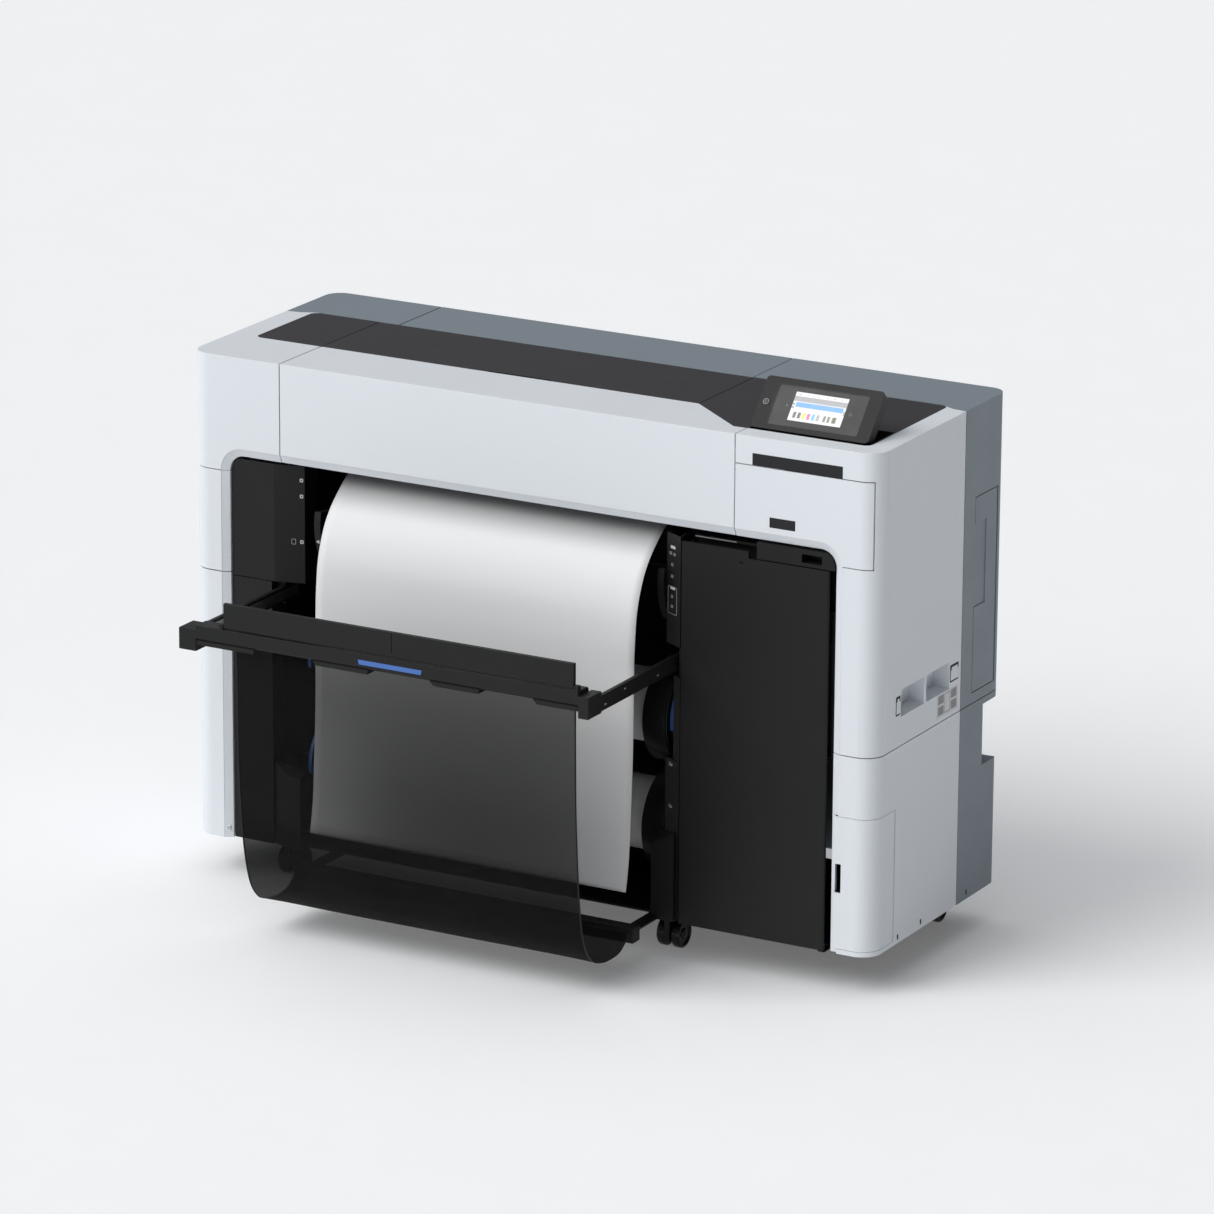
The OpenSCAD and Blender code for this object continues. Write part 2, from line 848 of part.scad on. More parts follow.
module bay_post_right() {
  t = 4;
  x1 = bay_x1 - 1;
  x0 = x1 - post_w;
  color(black) place() {
    post_slant(body_h - 378, body_h - 189);
    post_narrow(post_low_z, arm_z0 - 10);
    post_slant(post_z0, post_low_z);
    block(x1 - t, x1, t + 1, 38, arm_z0 - 10, body_h - 378);
    block(x0 - 8, x0, 20, 28, post_z0, 148);
    difference() {
      block(basket_x1 - arm_inset + slide_gap, x1, 30, rail_back, arm_z0 - 8, arm_z1 + 6);
      block(basket_x1 - arm_inset, x1 - 2, 41, rail_back + 1, arm_z0 - 4, arm_z1 + 2);
    }
  }
}

module ink_bay() {
  z0 = cartridge_z0 - wall;
  z1 = cartridge_z0 + cartridge_h + 6;
  back = cartridge_front + cartridge_d + 12;
  ledge_z = door_low_top + 1.5;
  color(black) place() {
    difference() {
      block(ink_x0, ink_x1, ink_front, back, z0, z1);
      for (i = [0:cartridge_count - 1]) {
        block(ink_x0 + wall + i * cartridge_pitch + 0.5, ink_x0 + wall + (i + 1) * cartridge_pitch - 0.5,
          ink_front - 1, back - wall, cartridge_z0, z1 - wall);
      }
    }
    difference() {
      intersection() {
        block(door_step_x + 14, ink_x1 + 5, 2, ink_front + 20, ledge_z, open_z - 4);
        along_y(0, 60) opening_outline(-1.5);
      }
      block(door_step_x + 96, ink_x1 - 18, 1, ink_front + 12, ledge_z + 6, open_z - 12);
    }
    rod_z(door_hinge_x, door_hinge_y, hinge_r, door_low_top - 12, ledge_z + 2);
    block(door_x0 + 18, door_step_x + 8, 22, 40, door_top + 4, door_top + 8);
    block(ink_x0, ink_x0 + 4, 24, back, z1, ledge_z + 8);
    block(ink_x0, ink_x1, ink_front + 20, ink_front + 24, z1, door_top + 6);
    block(ink_x0, ink_x0 + 4, 40, back, 4, z0);
    block(ink_x1 - 4, ink_x1, 40, back, 4, z0);
  }
}

module ink_cartridge(i) {
  x0 = ink_x0 + wall + i * cartridge_pitch + cartridge_gap;
  x1 = ink_x0 + wall + (i + 1) * cartridge_pitch - cartridge_gap;
  z1 = cartridge_z0 + cartridge_h;
  color([0.30, 0.31, 0.33]) place() difference() {
    block(x0, x1, cartridge_front, cartridge_front + cartridge_d, cartridge_z0 + 0.3, z1 - 3);
    block(x0 + 6, x1 - 6, cartridge_front - 1, cartridge_front + 8, z1 - 60, z1 - 30);
  }
}

module maintenance_box() {
  x0 = open_x1 + 24;
  color(black) place() difference() {
    block(x0, x_right - 14, 48, 250, 4.2, 132);
    block(x0 + 12, x_right - 26, 47, 60, 42, 92);
  }
}

// Space of the power inlet's housing, from inside the rear wall outward
module inlet_zone(grow) {
  translate([inlet_x - grow, body_d - 17, inlet_z - grow]) cube([inlet_w + 2 * grow, 18, inlet_h + 2 * grow]);
}

// Supply box with the housing of the power inlet at its back
module power_supply() {
  x0 = x_left + 16;
  rim = 4;
  color(steel) place() {
    block(x0, bay_x0 - 24, 90, split_side_y - 4, 4, 230);
    difference() {
      block(inlet_x, inlet_x + inlet_w, split_side_y - 6, body_d - 0.5, inlet_z, inlet_z + inlet_h);
      inlet_zone(-rim);
    }
    for (step = [-1, 0, 1]) {
      translate([inlet_x + inlet_w / 2 + 7 * step - 1, body_d - 18, inlet_z + inlet_h / 2 - 2]) {
        cube([2, 14, 4]);
      }
    }
  }
}

module platen() {
  color(dark) place() {
    difference() {
      block(platen_x0, platen_x1, platen_y, platen_back, platen_z - platen_h, platen_z);
      rod(platen_x0 - 1, platen_x1 + 1, feed_y, feed_z, feed_r + 1);
      block(platen_x0 - 1, platen_x1 + 1, feed_y - 11, feed_y + 11, feed_z, platen_z + 1);
    }
    for (span = [[bay_x0, platen_x0], [platen_x1, bay_x1 + 0.5]]) {
      difference() {
        block(span[0], span[1], platen_back - 60, platen_back, platen_z - platen_h, platen_z - 2);
        rod(span[0] - 1, span[1] + 1, feed_y, feed_z, feed_shaft_r + run_gap);
      }
    }
  }
}

module feed_roller() {
  color(steel) place() {
    rod(platen_x0 + 2, platen_x1 - 1, feed_y, feed_z, feed_r);
    rod(bay_x0 + 6, bay_x1 - 6, feed_y, feed_z, feed_shaft_r);
  }
}

module carriage_rail() {
  color(steel) place() {
    along_x(bay_x0 - 60, x_right - 40) polygon([
      [rail_y, rail_z], [rail_y + rail_d, rail_z],
      [rail_y + rail_d, rail_z + rail_h], [rail_y, rail_z + rail_h],
      [rail_y, rail_z + rail_h - 4], [rail_y + rail_d - 4, rail_z + rail_h - 4],
      [rail_y + rail_d - 4, rail_z + 4], [rail_y, rail_z + 4]
    ]);
    for (x = [bay_x0 - plate_t, bay_x1 + 0.5]) {
      block(x, x + 2.5, rail_y, rail_y + rail_d, open_z - 24, rail_z);
    }
  }
}

module carriage() {
  x0 = carriage_x1 - carriage_w;
  color(black) place() {
    difference() {
      block(x0, carriage_x1, 84, rail_y - 2, platen_z + 6, rail_z + 70);
      block(x0 + 12, carriage_x1 - 12, 83, 96, platen_z + 40, rail_z + 50);
    }
    block(x0 + 10, carriage_x1 - 10, rail_y - 3, rail_y + 2, rail_z + rail_h + 1, rail_z + rail_h + 8);
    block(x0 + 10, carriage_x1 - 10, rail_y + 1, rail_y + 10, rail_z + rail_h + 1, rail_z + rail_h + 5);
  }
}

module carriage_belt() {
  x0 = bay_x0 - 40;
  x1 = x_right - 60;
  z = rail_z + 30;
  y = rail_y + 6;
  r = 8;
  color([0.1, 0.1, 0.1]) place() {
    along_y(y, y + 8) difference() {
      polygon(concat(arc(x0, z, r, 90, 270), arc(x1, z, r, 270, 450)));
      polygon(concat(arc(x0, z, r - 1.5, 90, 270), arc(x1, z, r - 1.5, 270, 450)));
    }
    for (x = [x0, x1]) {
      translate([x, y + 8, z]) rotate([90, 0, 0]) cylinder(h = 8, r = r - 1.5);
    }
  }
}

// Pair of curved arms on a shaft that guides the printed media
module output_guide() {
  color(black) place() {
    for (x = [guide_x0, guide_x1]) {
      along_x(x, x + guide_t) polygon(concat(
        arc(guide_y, guide_z, guide_r, 220, 166), arc(guide_y, guide_z, 11, 100, -110),
        [[guide_y - 50, guide_z - 6]], arc(guide_y, guide_z, guide_r - 20, 178, 220)
      ));
    }
    rod(bay_x0 + 1, bay_x1 - 1, guide_y, guide_z, guide_shaft_r);
  }
}

module media_roll(z) {
  color([0.95, 0.95, 0.95]) place() difference() {
    rod(paper_x0, paper_x1, roll_y, z, roll_r);
    rod(paper_x0 - 1, paper_x1 + 1, roll_y, z, core_r);
  }
}

module roll_upper() {
  media_roll(upper_roll_z);
}

module roll_lower() {
  media_roll(lower_roll_z);
}

// Rim of a flange, which reaches over the end of the roll
module flange_cup(x0, x1, z) {
  difference() {
    rod(x0, x1, roll_y, z, flange_r);
    rod(x0 - 1, x1 + 1, roll_y, z, flange_r - cup_t);
  }
}

// Two flanged adapters that plug into the ends of a core
module adapters(z) {
  plug = 40;
  color(black) place() {
    rod(paper_x0 - flange_gap - flange_t, paper_x0 - flange_gap, roll_y, z, flange_r);
    rod(paper_x0 - flange_gap, paper_x0 + plug, roll_y, z, core_r - 0.2);
    rod(left_lever_x + lever_t, paper_x0 - flange_gap - flange_t, roll_y, z, 26);
    rod(bay_x0 + 2, left_lever_x + lever_t, roll_y, z, stub_r);
    rod(paper_x1 + flange_gap, paper_x1 + flange_gap + flange_t, roll_y, z, flange_r);
    flange_cup(paper_x0 - flange_gap - 1, paper_x0 - flange_gap + cup_d, z);
    flange_cup(paper_x1 + flange_gap - cup_d, paper_x1 + flange_gap + 1, z);
    rod(paper_x1 - plug, paper_x1 + flange_gap, roll_y, z, core_r - 0.2);
    rod(paper_x1 + flange_gap + flange_t, bay_x1 - 2, roll_y, z, stub_r);
  }
}

module adapters_upper() {
  adapters(upper_roll_z);
}

module adapters_lower() {
  adapters(lower_roll_z);
}

// Curved handle that locks a roll adapter
module lock_lever(x, z) {
  r0 = stub_r + run_gap;
  color(blue) place() difference() {
    along_x(x, x + lever_t - 0.3) polygon(concat(
      arc(roll_y, z, 72, 192, 128), arc(roll_y, z, 62, 128, 172), [[roll_y - 20, z + 7]],
      arc(roll_y, z, stub_r + 7, 150, -150), [[roll_y - 20, z - 10]]
    ));
    rod(x - 1, x + lever_t + 1, roll_y, z, r0);
  }
}

module lock_lever_upper_left() {
  lock_lever(left_lever_x, upper_roll_z);
}

module lock_lever_upper_right() {
  lock_lever(right_lever_x, upper_roll_z);
}

module lock_lever_lower_left() {
  lock_lever(left_lever_x, lower_roll_z);
}

module lock_lever_lower_right() {
  lock_lever(right_lever_x, lower_roll_z);
}

module basket_frame() {
  y0 = -basket_reach;
  xl = basket_x0;
  xr = basket_x1;
  color(black) place() {
    block(xl, xl + cap_left_w, y0, y0 + cap_d, arm_z0, arm_z1 + 10);
    block(xr - cap_right_w, xr, y0, y0 + cap_d, arm_z0, arm_z1 + 10);
    along_x(xl + cap_left_w, xr - cap_right_w) polygon([
      [y0, bar_z0 + 4], [y0 + 4, bar_z0], [y0 + bar_d, bar_z0], [y0 + bar_d, bar_z1 - 4],
      [y0 + bar_d - 4, bar_z1], [y0, bar_z1]
    ]);
    for (x = [xl + arm_inset, xr - arm_inset - arm_t]) {
      block(x, x + arm_t, y0 + cap_d, arm_back, arm_z0, arm_z1);
    }
    for (x = [flap_x0 - flap_lug - 1, flap_x1 + 1]) {
      difference() {
        block(x, x + flap_lug, y0, y0 + 10, bar_z1, flap_axis_z + flap_r);
        rod(x - 1, x + flap_lug + 1, y0 + 5, flap_axis_z, flap_pin_r + run_gap);
      }
    }
  }
}

module basket_flap() {
  y0 = -basket_reach;
  color(black) place() {
    difference() {
      block(flap_x0, flap_x1, y0 + 1, y0 + 1 + flap_t, flap_axis_z, flap_axis_z + flap_h - flap_r);
      block(flap_split_x, flap_split_x + 1, y0, y0 + 2.2, flap_axis_z + 5, flap_axis_z + flap_h);
    }
    rod(flap_x0, flap_x1, y0 + 5, flap_axis_z, flap_r);
    rod(flap_x0 - flap_lug, flap_x1 + flap_lug, y0 + 5, flap_axis_z, flap_pin_r);
  }
}

module basket_rear_bar() {
  color(black) place() {
    translate([cloth_x0 - 6, rear_bar_y, rear_bar_z]) {
      cube([cloth_x1 - cloth_x0 + 12, rear_bar_d, rear_bar_h]);
    }
    for (x = [cloth_x0, cloth_x1 - 24]) {
      block(x, x + 24, rear_bar_y + rear_bar_d, 24, 0.5, 4);
    }
  }
}

module basket_cloth() {
  top_z = bar_z0 - 1;
  color([0.1, 0.1, 0.1]) place() along_x(cloth_x0, cloth_x1) polygon(concat(
    [[cloth_top_y, top_z]], arc(cloth_mid_y, cloth_mid_z, cloth_r, 186, cloth_end_angle),
    [[cloth_end_y, cloth_end_z], [cloth_end_y, cloth_end_z + cloth_t * 1.2]],
    arc(cloth_mid_y, cloth_mid_z, cloth_r - cloth_t, cloth_end_angle, 186), [[cloth_top_y + cloth_t, top_z]]
  ));
}

module paper_web() {
  color([0.95, 0.95, 0.95]) place() along_x(paper_x0, paper_x1) polygon(web_outline());
}

// Side outline of the web: off the platen, over a wide bend and down to its cut end
function web_line(inset) = concat(
  [[60, web_exit_z - inset]],
  arc(web_hang_y + web_bend_r, web_bend_z, web_bend_r - inset, 123, 180),
  [[web_hang_y - 3 + inset, web_knee_z], [web_hang_y - 24 + inset, web_end_z]]
);

function reversed(points) = [for (i = [len(points) - 1:-1:0]) points[i]];

function web_outline() = concat(web_line(0), reversed(web_line(web_t)));

// Swivelling yoke with the hood between its two wheels
module caster(x, y) {
  axle_z = wheel_r - floor_gap;
  color(black) place() translate([x, y, 0]) {
    cylinder_between(20, -8, -1);
    cylinder_between(swivel_pin_r, -1, 20);
    translate([-hood_w / 2, -12, axle_z - 10]) cube([hood_w, caster_trail + 30, -8 - axle_z + 10]);
    rod(-hood_w / 2 - wheel_w, hood_w / 2 + wheel_w, caster_trail, axle_z, axle_r);
  }
}

module cylinder_between(r, z0, z1) {
  translate([0, 0, z0]) cylinder(h = z1 - z0, r = r);
}

module wheels(x, y) {
  axle_z = wheel_r - floor_gap;
  color(black) place() translate([x, y, 0]) {
    for (side = [-1, 1]) {
      x0 = side < 0 ? -hood_w / 2 - wheel_w : hood_w / 2 + 0.6;
      difference() {
        rod(x0, x0 + wheel_w - 0.6, caster_trail, axle_z, wheel_r);
        rod(x0 - 1, x0 + wheel_w + 1, caster_trail, axle_z, axle_r + run_gap);
      }
    }
  }
}

module caster_front_left() {
  caster(caster_front_x0, caster_front_y);
}

module caster_front_right() {
  caster(caster_front_x1, caster_front_y);
}

module caster_rear_left() {
  caster(caster_rear_x0, caster_rear_y);
}

module caster_rear_right() {
  caster(caster_rear_x1, caster_rear_y);
}

module wheels_front_left() {
  wheels(caster_front_x0, caster_front_y);
}

module wheels_front_right() {
  wheels(caster_front_x1, caster_front_y);
}

module wheels_rear_left() {
  wheels(caster_rear_x0, caster_rear_y);
}

module wheels_rear_right() {
  wheels(caster_rear_x1, caster_rear_y);
}

frame();
left_cover_upper();
left_cover_middle();
left_cover_lower();
right_cover();
right_hatch_cover();
right_cover_lower();
top_panel_left();
top_panel_right();
rear_cover_left();
rear_cover_middle();
rear_cover_right();
rear_cover_lower();
side_door();
front_cover();
front_cover_panel();
display_housing();
display_screen();
power_button();
ink_door();
corner_door();
bay_panel_left();
bay_post_left();
bay_post_right();
ink_bay();
ink_cartridge(0);  // ink_cartridge_1
ink_cartridge(1);  // ink_cartridge_2
ink_cartridge(2);  // ink_cartridge_3
ink_cartridge(3);  // ink_cartridge_4
ink_cartridge(4);  // ink_cartridge_5
ink_cartridge(5);  // ink_cartridge_6
maintenance_box();
power_supply();
platen();
feed_roller();
carriage_rail();
carriage();
carriage_belt();
output_guide();
roll_upper();
roll_lower();
adapters_upper();
adapters_lower();
lock_lever_upper_left();
lock_lever_upper_right();
lock_lever_lower_left();
lock_lever_lower_right();
basket_frame();
basket_flap();
basket_rear_bar();
basket_cloth();
paper_web();
caster_front_left();
caster_front_right();
caster_rear_left();
caster_rear_right();
wheels_front_left();
wheels_front_right();
wheels_rear_left();
wheels_rear_right();
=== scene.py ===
"""Looks of the large format plotter. The x, y, z in the calls below are millimetres:
x from the middle of the body, y back from its front face, z up from its underside."""
import math

import bmesh
import bpy
from mathutils import Matrix, Vector


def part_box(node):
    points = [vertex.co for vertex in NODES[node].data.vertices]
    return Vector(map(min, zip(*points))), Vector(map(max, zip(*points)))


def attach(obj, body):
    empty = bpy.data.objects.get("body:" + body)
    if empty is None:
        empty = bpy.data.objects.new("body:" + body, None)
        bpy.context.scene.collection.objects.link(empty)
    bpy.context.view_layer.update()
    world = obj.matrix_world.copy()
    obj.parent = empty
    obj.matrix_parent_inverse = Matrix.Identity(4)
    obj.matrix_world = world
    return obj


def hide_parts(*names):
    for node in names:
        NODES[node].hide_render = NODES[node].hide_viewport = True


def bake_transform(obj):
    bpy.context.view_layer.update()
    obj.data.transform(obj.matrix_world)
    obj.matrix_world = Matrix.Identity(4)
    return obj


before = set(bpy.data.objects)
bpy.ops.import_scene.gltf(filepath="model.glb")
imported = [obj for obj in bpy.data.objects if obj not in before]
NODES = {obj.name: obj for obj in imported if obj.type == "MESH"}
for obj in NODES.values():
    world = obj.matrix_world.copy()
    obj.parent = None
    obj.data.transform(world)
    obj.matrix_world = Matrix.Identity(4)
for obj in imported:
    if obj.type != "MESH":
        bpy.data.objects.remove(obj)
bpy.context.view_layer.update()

# The front face and the underside, from the CAD
FRONT_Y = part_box("ink_door")[0].y
UNDER_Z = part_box("ink_door")[0].z


def at(x, y, z):
    return Vector((x / 1000, y / 1000 + FRONT_Y, z / 1000 + UNDER_Z))


# ---------------------------------------------------------------- camera, floor, light

def make_camera():
    yaw, pitch, roll = 0.50634, 0.29444, 0.00618
    forward = Vector((-math.sin(yaw) * math.cos(pitch), math.cos(yaw) * math.cos(pitch), -math.sin(pitch)))
    right = Vector((math.cos(yaw), math.sin(yaw), 0))
    up = right.cross(forward)
    across = math.cos(roll) * right + math.sin(roll) * up
    upward = math.cos(roll) * up - math.sin(roll) * right
    data = bpy.data.cameras.new("camera")
    data.lens = 204.66
    data.sensor_width = 36
    data.clip_end = 200
    camera = bpy.data.objects.new("camera", data)
    bpy.context.scene.collection.objects.link(camera)
    turn = Matrix((across, upward, -forward)).transposed().to_4x4()
    camera.matrix_world = Matrix.Translation(at(5425.8, -9504.6, 3823.1)) @ turn
    bpy.context.scene.camera = camera


def make_sun(name, toward, strength, spread, tint):
    data = bpy.data.lights.new(name, "SUN")
    data.energy = strength
    data.angle = math.radians(spread)
    data.color = tint
    lamp = bpy.data.objects.new(name, data)
    lamp.rotation_euler = Vector(toward).to_track_quat("Z", "Y").to_euler()
    bpy.context.scene.collection.objects.link(lamp)


def make_sky():
    """Soft studio light, brighter towards the front left than towards the back right."""
    world = bpy.data.worlds.new("studio")
    world.use_nodes = True
    tree = world.node_tree
    coords = add(tree, "ShaderNodeTexCoord").outputs["Generated"]
    side = add(tree, "ShaderNodeVectorMath", operation="DOT_PRODUCT")
    side.inputs[1].default_value = (0.72, 0.58, 0.0)
    tree.links.new(coords, side.inputs[0])
    fade = spread_out(tree, side.outputs["Value"], 0, 1, -0.75, 0.45)
    tone = blend_colours(tree, fade, (0.64, 0.66, 0.69), (0.045, 0.048, 0.054))
    tree.links.new(tone, tree.nodes["Background"].inputs["Color"])
    bpy.context.scene.world = world


def make_stage():
    bpy.context.scene.view_settings.view_transform = "Standard"
    make_sky()
    make_sun("key", (-0.40, -0.60, 0.69), 1.65, 38, (1.0, 0.995, 0.985))
    make_sun("top", (-0.10, 0.10, 1.0), 0.62, 70, (0.98, 0.99, 1.0))
    floor = grid_piece("floor", [[(x, y, 0) for x in (-60, 60)] for y in (-60, 60)])
    paint = surface("floor_paint", (0.89, 0.895, 0.90), 0.7, grain=14, height=0.0002, spread=0.012,
                    specular=0.1)
    shader = paint.node_tree.nodes["Principled BSDF"]
    shader.inputs["Emission Color"].default_value = (1, 1, 1, 1)
    shader.inputs["Emission Strength"].default_value = 0.13
    floor.data.materials.append(paint)


# ---------------------------------------------------------------- materials

def add(tree, kind, **values):
    node = tree.nodes.new(kind)
    for key, value in values.items():
        if hasattr(node, key):
            setattr(node, key, value)
        else:
            node.inputs[key.replace("_", " ")].default_value = value
    return node


def noise(tree, coords, scale, detail=2.0):
    node = add(tree, "ShaderNodeTexNoise", Scale=scale, Detail=detail, Roughness=0.55)
    tree.links.new(coords, node.inputs["Vector"])
    return node.outputs["Fac"]


def spread_out(tree, value, low, high, start=0.3, end=0.7):
    node = add(tree, "ShaderNodeMapRange")
    for key, number in (("From Min", start), ("From Max", end), ("To Min", low), ("To Max", high)):
        node.inputs[key].default_value = number
    tree.links.new(value, node.inputs["Value"])
    return node.outputs["Result"]


def blend_colours(tree, factor, first, second):
    node = add(tree, "ShaderNodeMix", data_type="RGBA")
    tree.links.new(factor, node.inputs["Factor"])
    for key, colour in (("A", first), ("B", second)):
        socket = [s for s in node.inputs if s.name == key and s.type == "RGBA"][0]
        if isinstance(colour, tuple):
            socket.default_value = (*colour, 1)
        else:
            tree.links.new(colour, socket)
    return [s for s in node.outputs if s.type == "RGBA"][0]


def surface(name, colour, rough, grain=1100.0, height=0.00003, spread=0.04, metal=0.0, coat=0.0, stretch=None,
            specular=0.5, smudge=0.05, sheen=0.0):
    """Moulded, painted or rolled surface: a fine grain, a slow colour drift and uneven gloss."""
    material = bpy.data.materials.new(name)
    material.use_nodes = True
    tree = material.node_tree
    shader = tree.nodes["Principled BSDF"]
    coords = add(tree, "ShaderNodeTexCoord").outputs["Object"]
    if stretch:
        mapping = add(tree, "ShaderNodeMapping")
        mapping.inputs["Scale"].default_value = stretch
        tree.links.new(coords, mapping.inputs["Vector"])
        grain_coords = mapping.outputs["Vector"]
    else:
        grain_coords = coords
    fine = noise(tree, grain_coords, grain, 3.0)
    slow = noise(tree, coords, 4.5, 3.0)
    low = tuple(c * (1 - spread) for c in colour)
    high = tuple(min(1.0, c * (1 + spread)) for c in colour)
    drift = blend_colours(tree, spread_out(tree, slow, 0, 1), low, high)
    speck = blend_colours(tree, spread_out(tree, fine, 0, 1), low, high)
    tone = blend_colours(tree, spread_out(tree, noise(tree, coords, 60), 0.25, 0.75), drift, speck)
    tree.links.new(tone, shader.inputs["Base Color"])
    tree.links.new(spread_out(tree, noise(tree, coords, 22, 4), rough - smudge, rough + smudge),
                   shader.inputs["Roughness"])
    bump = add(tree, "ShaderNodeBump", Strength=1.0, Distance=height)
    tree.links.new(fine, bump.inputs["Height"])
    tree.links.new(bump.outputs["Normal"], shader.inputs["Normal"])
    shader.inputs["Metallic"].default_value = metal
    shader.inputs["Coat Weight"].default_value = coat
    shader.inputs["Coat Roughness"].default_value = 0.12
    shader.inputs["Specular IOR Level"].default_value = specular
    shader.inputs["Sheen Weight"].default_value = sheen
    return material


def roll_paper(name, y, z):
    """Paper wound on a core: its ends show the turns as fine rings about the roll's axis."""
    material = surface(name, (0.83, 0.83, 0.82), 0.55, grain=420, height=0.00002, spread=0.02)
    tree = material.node_tree
    shader = tree.nodes["Principled BSDF"]
    coords = tree.nodes["Texture Coordinate"].outputs["Object"]
    shift = add(tree, "ShaderNodeVectorMath", operation="SUBTRACT")
    shift.inputs[1].default_value = at(0, y, z)
    flat = add(tree, "ShaderNodeVectorMath", operation="MULTIPLY")
    flat.inputs[1].default_value = (0, 1, 1)
    length = add(tree, "ShaderNodeVectorMath", operation="LENGTH")
    turns = add(tree, "ShaderNodeMath", operation="MULTIPLY")
    turns.inputs[1].default_value = 5200
    wave = add(tree, "ShaderNodeMath", operation="SINE")
    tree.links.new(coords, shift.inputs[0])
    tree.links.new(shift.outputs[0], flat.inputs[0])
    tree.links.new(flat.outputs[0], length.inputs[0])
    tree.links.new(length.outputs["Value"], turns.inputs[0])
    tree.links.new(turns.outputs[0], wave.inputs[0])
    base = shader.inputs["Base Color"].links[0].from_socket
    rings = blend_colours(tree, spread_out(tree, wave.outputs[0], 0.0, 0.35, -1, 1), base, (0.55, 0.53, 0.50))
    tree.links.new(rings, shader.inputs["Base Color"])
    return material


def net_cloth(name):
    """Sheer woven net: threads both ways with light coming through the gaps."""
    material = bpy.data.materials.new(name)
    material.use_nodes = True
    tree = material.node_tree
    shader = tree.nodes["Principled BSDF"]
    texcoord = add(tree, "ShaderNodeTexCoord")
    threads = []
    for direction in ("X", "Y"):
        wave = add(tree, "ShaderNodeTexWave", wave_type="BANDS", bands_direction=direction, Scale=260,
                   Distortion=0.4)
        wave.inputs["Detail"].default_value = 1
        tree.links.new(texcoord.outputs["UV"], wave.inputs["Vector"])
        threads.append(wave.outputs["Fac"])
    over = add(tree, "ShaderNodeMath", operation="MAXIMUM")
    tree.links.new(threads[0], over.inputs[0])
    tree.links.new(threads[1], over.inputs[1])
    cover = spread_out(tree, over.outputs[0], 0.60, 0.90, 0.35, 0.85)
    split = add(tree, "ShaderNodeSeparateXYZ")
    tree.links.new(texcoord.outputs["UV"], split.inputs[0])
    # painted shade: the lower band of the black net, round the bottom of the basket, is made nearly opaque so
    # it darkens the view under the body where shade falls
    opaque_shade_band = spread_out(tree, split.outputs["Y"], 0.0, 0.22, 0.30, 0.37)
    total = add(tree, "ShaderNodeMath", operation="ADD", use_clamp=True)
    tree.links.new(cover, total.inputs[0])
    tree.links.new(opaque_shade_band, total.inputs[1])
    tree.links.new(total.outputs[0], shader.inputs["Alpha"])
    slow = noise(tree, texcoord.outputs["UV"], 9, 3)
    tree.links.new(blend_colours(tree, spread_out(tree, slow, 0, 1), (0.0025, 0.0025, 0.0027),
                                 (0.0045, 0.0045, 0.0048)),
                   shader.inputs["Base Color"])
    tree.links.new(spread_out(tree, over.outputs[0], 0.5, 0.72), shader.inputs["Roughness"])
    bump = add(tree, "ShaderNodeBump", Strength=0.6, Distance=0.0002)
    tree.links.new(over.outputs[0], bump.inputs["Height"])
    tree.links.new(bump.outputs["Normal"], shader.inputs["Normal"])
    shader.inputs["Sheen Weight"].default_value = 0.02
    shader.inputs["Specular IOR Level"].default_value = 0.06
    return material


def glow(name, colour, strength):
    """Lit part of the display: a plain printed colour over a fine pixel grid."""
    material = surface(name, tuple(c * 0.12 for c in colour), 0.18, grain=2500, height=0.000002, spread=0.05,
                       coat=0.5)
    tree = material.node_tree
    shader = tree.nodes["Principled BSDF"]
    coords = tree.nodes["Texture Coordinate"].outputs["Object"]
    low = tuple(c * 0.93 for c in colour)
    tree.links.new(blend_colours(tree, spread_out(tree, noise(tree, coords, 1800), 0, 1), low, colour),
                   shader.inputs["Emission Color"])
    shader.inputs["Emission Strength"].default_value = strength
    return material


M = {}


def paper_with_painted_shade():
    """Media paper with a plain grey gradient of painted shade, light over the bend and darker down the
    hanging part, and a painted shadow of the front cover darkening it towards the top.
    """
    material = surface("media_paper", (0.80, 0.80, 0.80), 0.50, grain=700, height=0.00002, spread=0.012,
                       specular=0.25)
    tree = material.node_tree
    shader = tree.nodes["Principled BSDF"]
    split = add(tree, "ShaderNodeSeparateXYZ")
    tree.links.new(tree.nodes["Texture Coordinate"].outputs["Object"], split.inputs[0])
    # painted shade: below z 590 the colour falls to 0.62 grey by z 290, standing in for the hanging part
    # turned away from the light
    fade = add(tree, "ShaderNodeMapRange", interpolation_type="SMOOTHSTEP")
    for key, number in (("From Min", at(0, 0, 290).z), ("From Max", at(0, 0, 590).z), ("To Min", 0.0),
                        ("To Max", 1.0)):
        fade.inputs[key].default_value = number
    tree.links.new(split.outputs["Z"], fade.inputs["Value"])
    base = shader.inputs["Base Color"].links[0].from_socket
    lower = blend_colours(tree, fade.outputs["Result"], (0.62, 0.62, 0.62), base)
    # painted shadow of the front cover: over the top of the bend the colour darkens to 0.30 grey
    start = add(tree, "ShaderNodeMapRange", interpolation_type="SMOOTHSTEP")
    for key, number in (("From Min", at(0, 0, 618).z), ("From Max", at(0, 0, 666).z), ("To Min", 0.0),
                        ("To Max", 1.0)):
        start.inputs[key].default_value = number
    tree.links.new(split.outputs["Z"], start.inputs["Value"])
    tree.links.new(blend_colours(tree, start.outputs["Result"], lower, (0.30, 0.30, 0.30)),
                   shader.inputs["Base Color"])
    return material


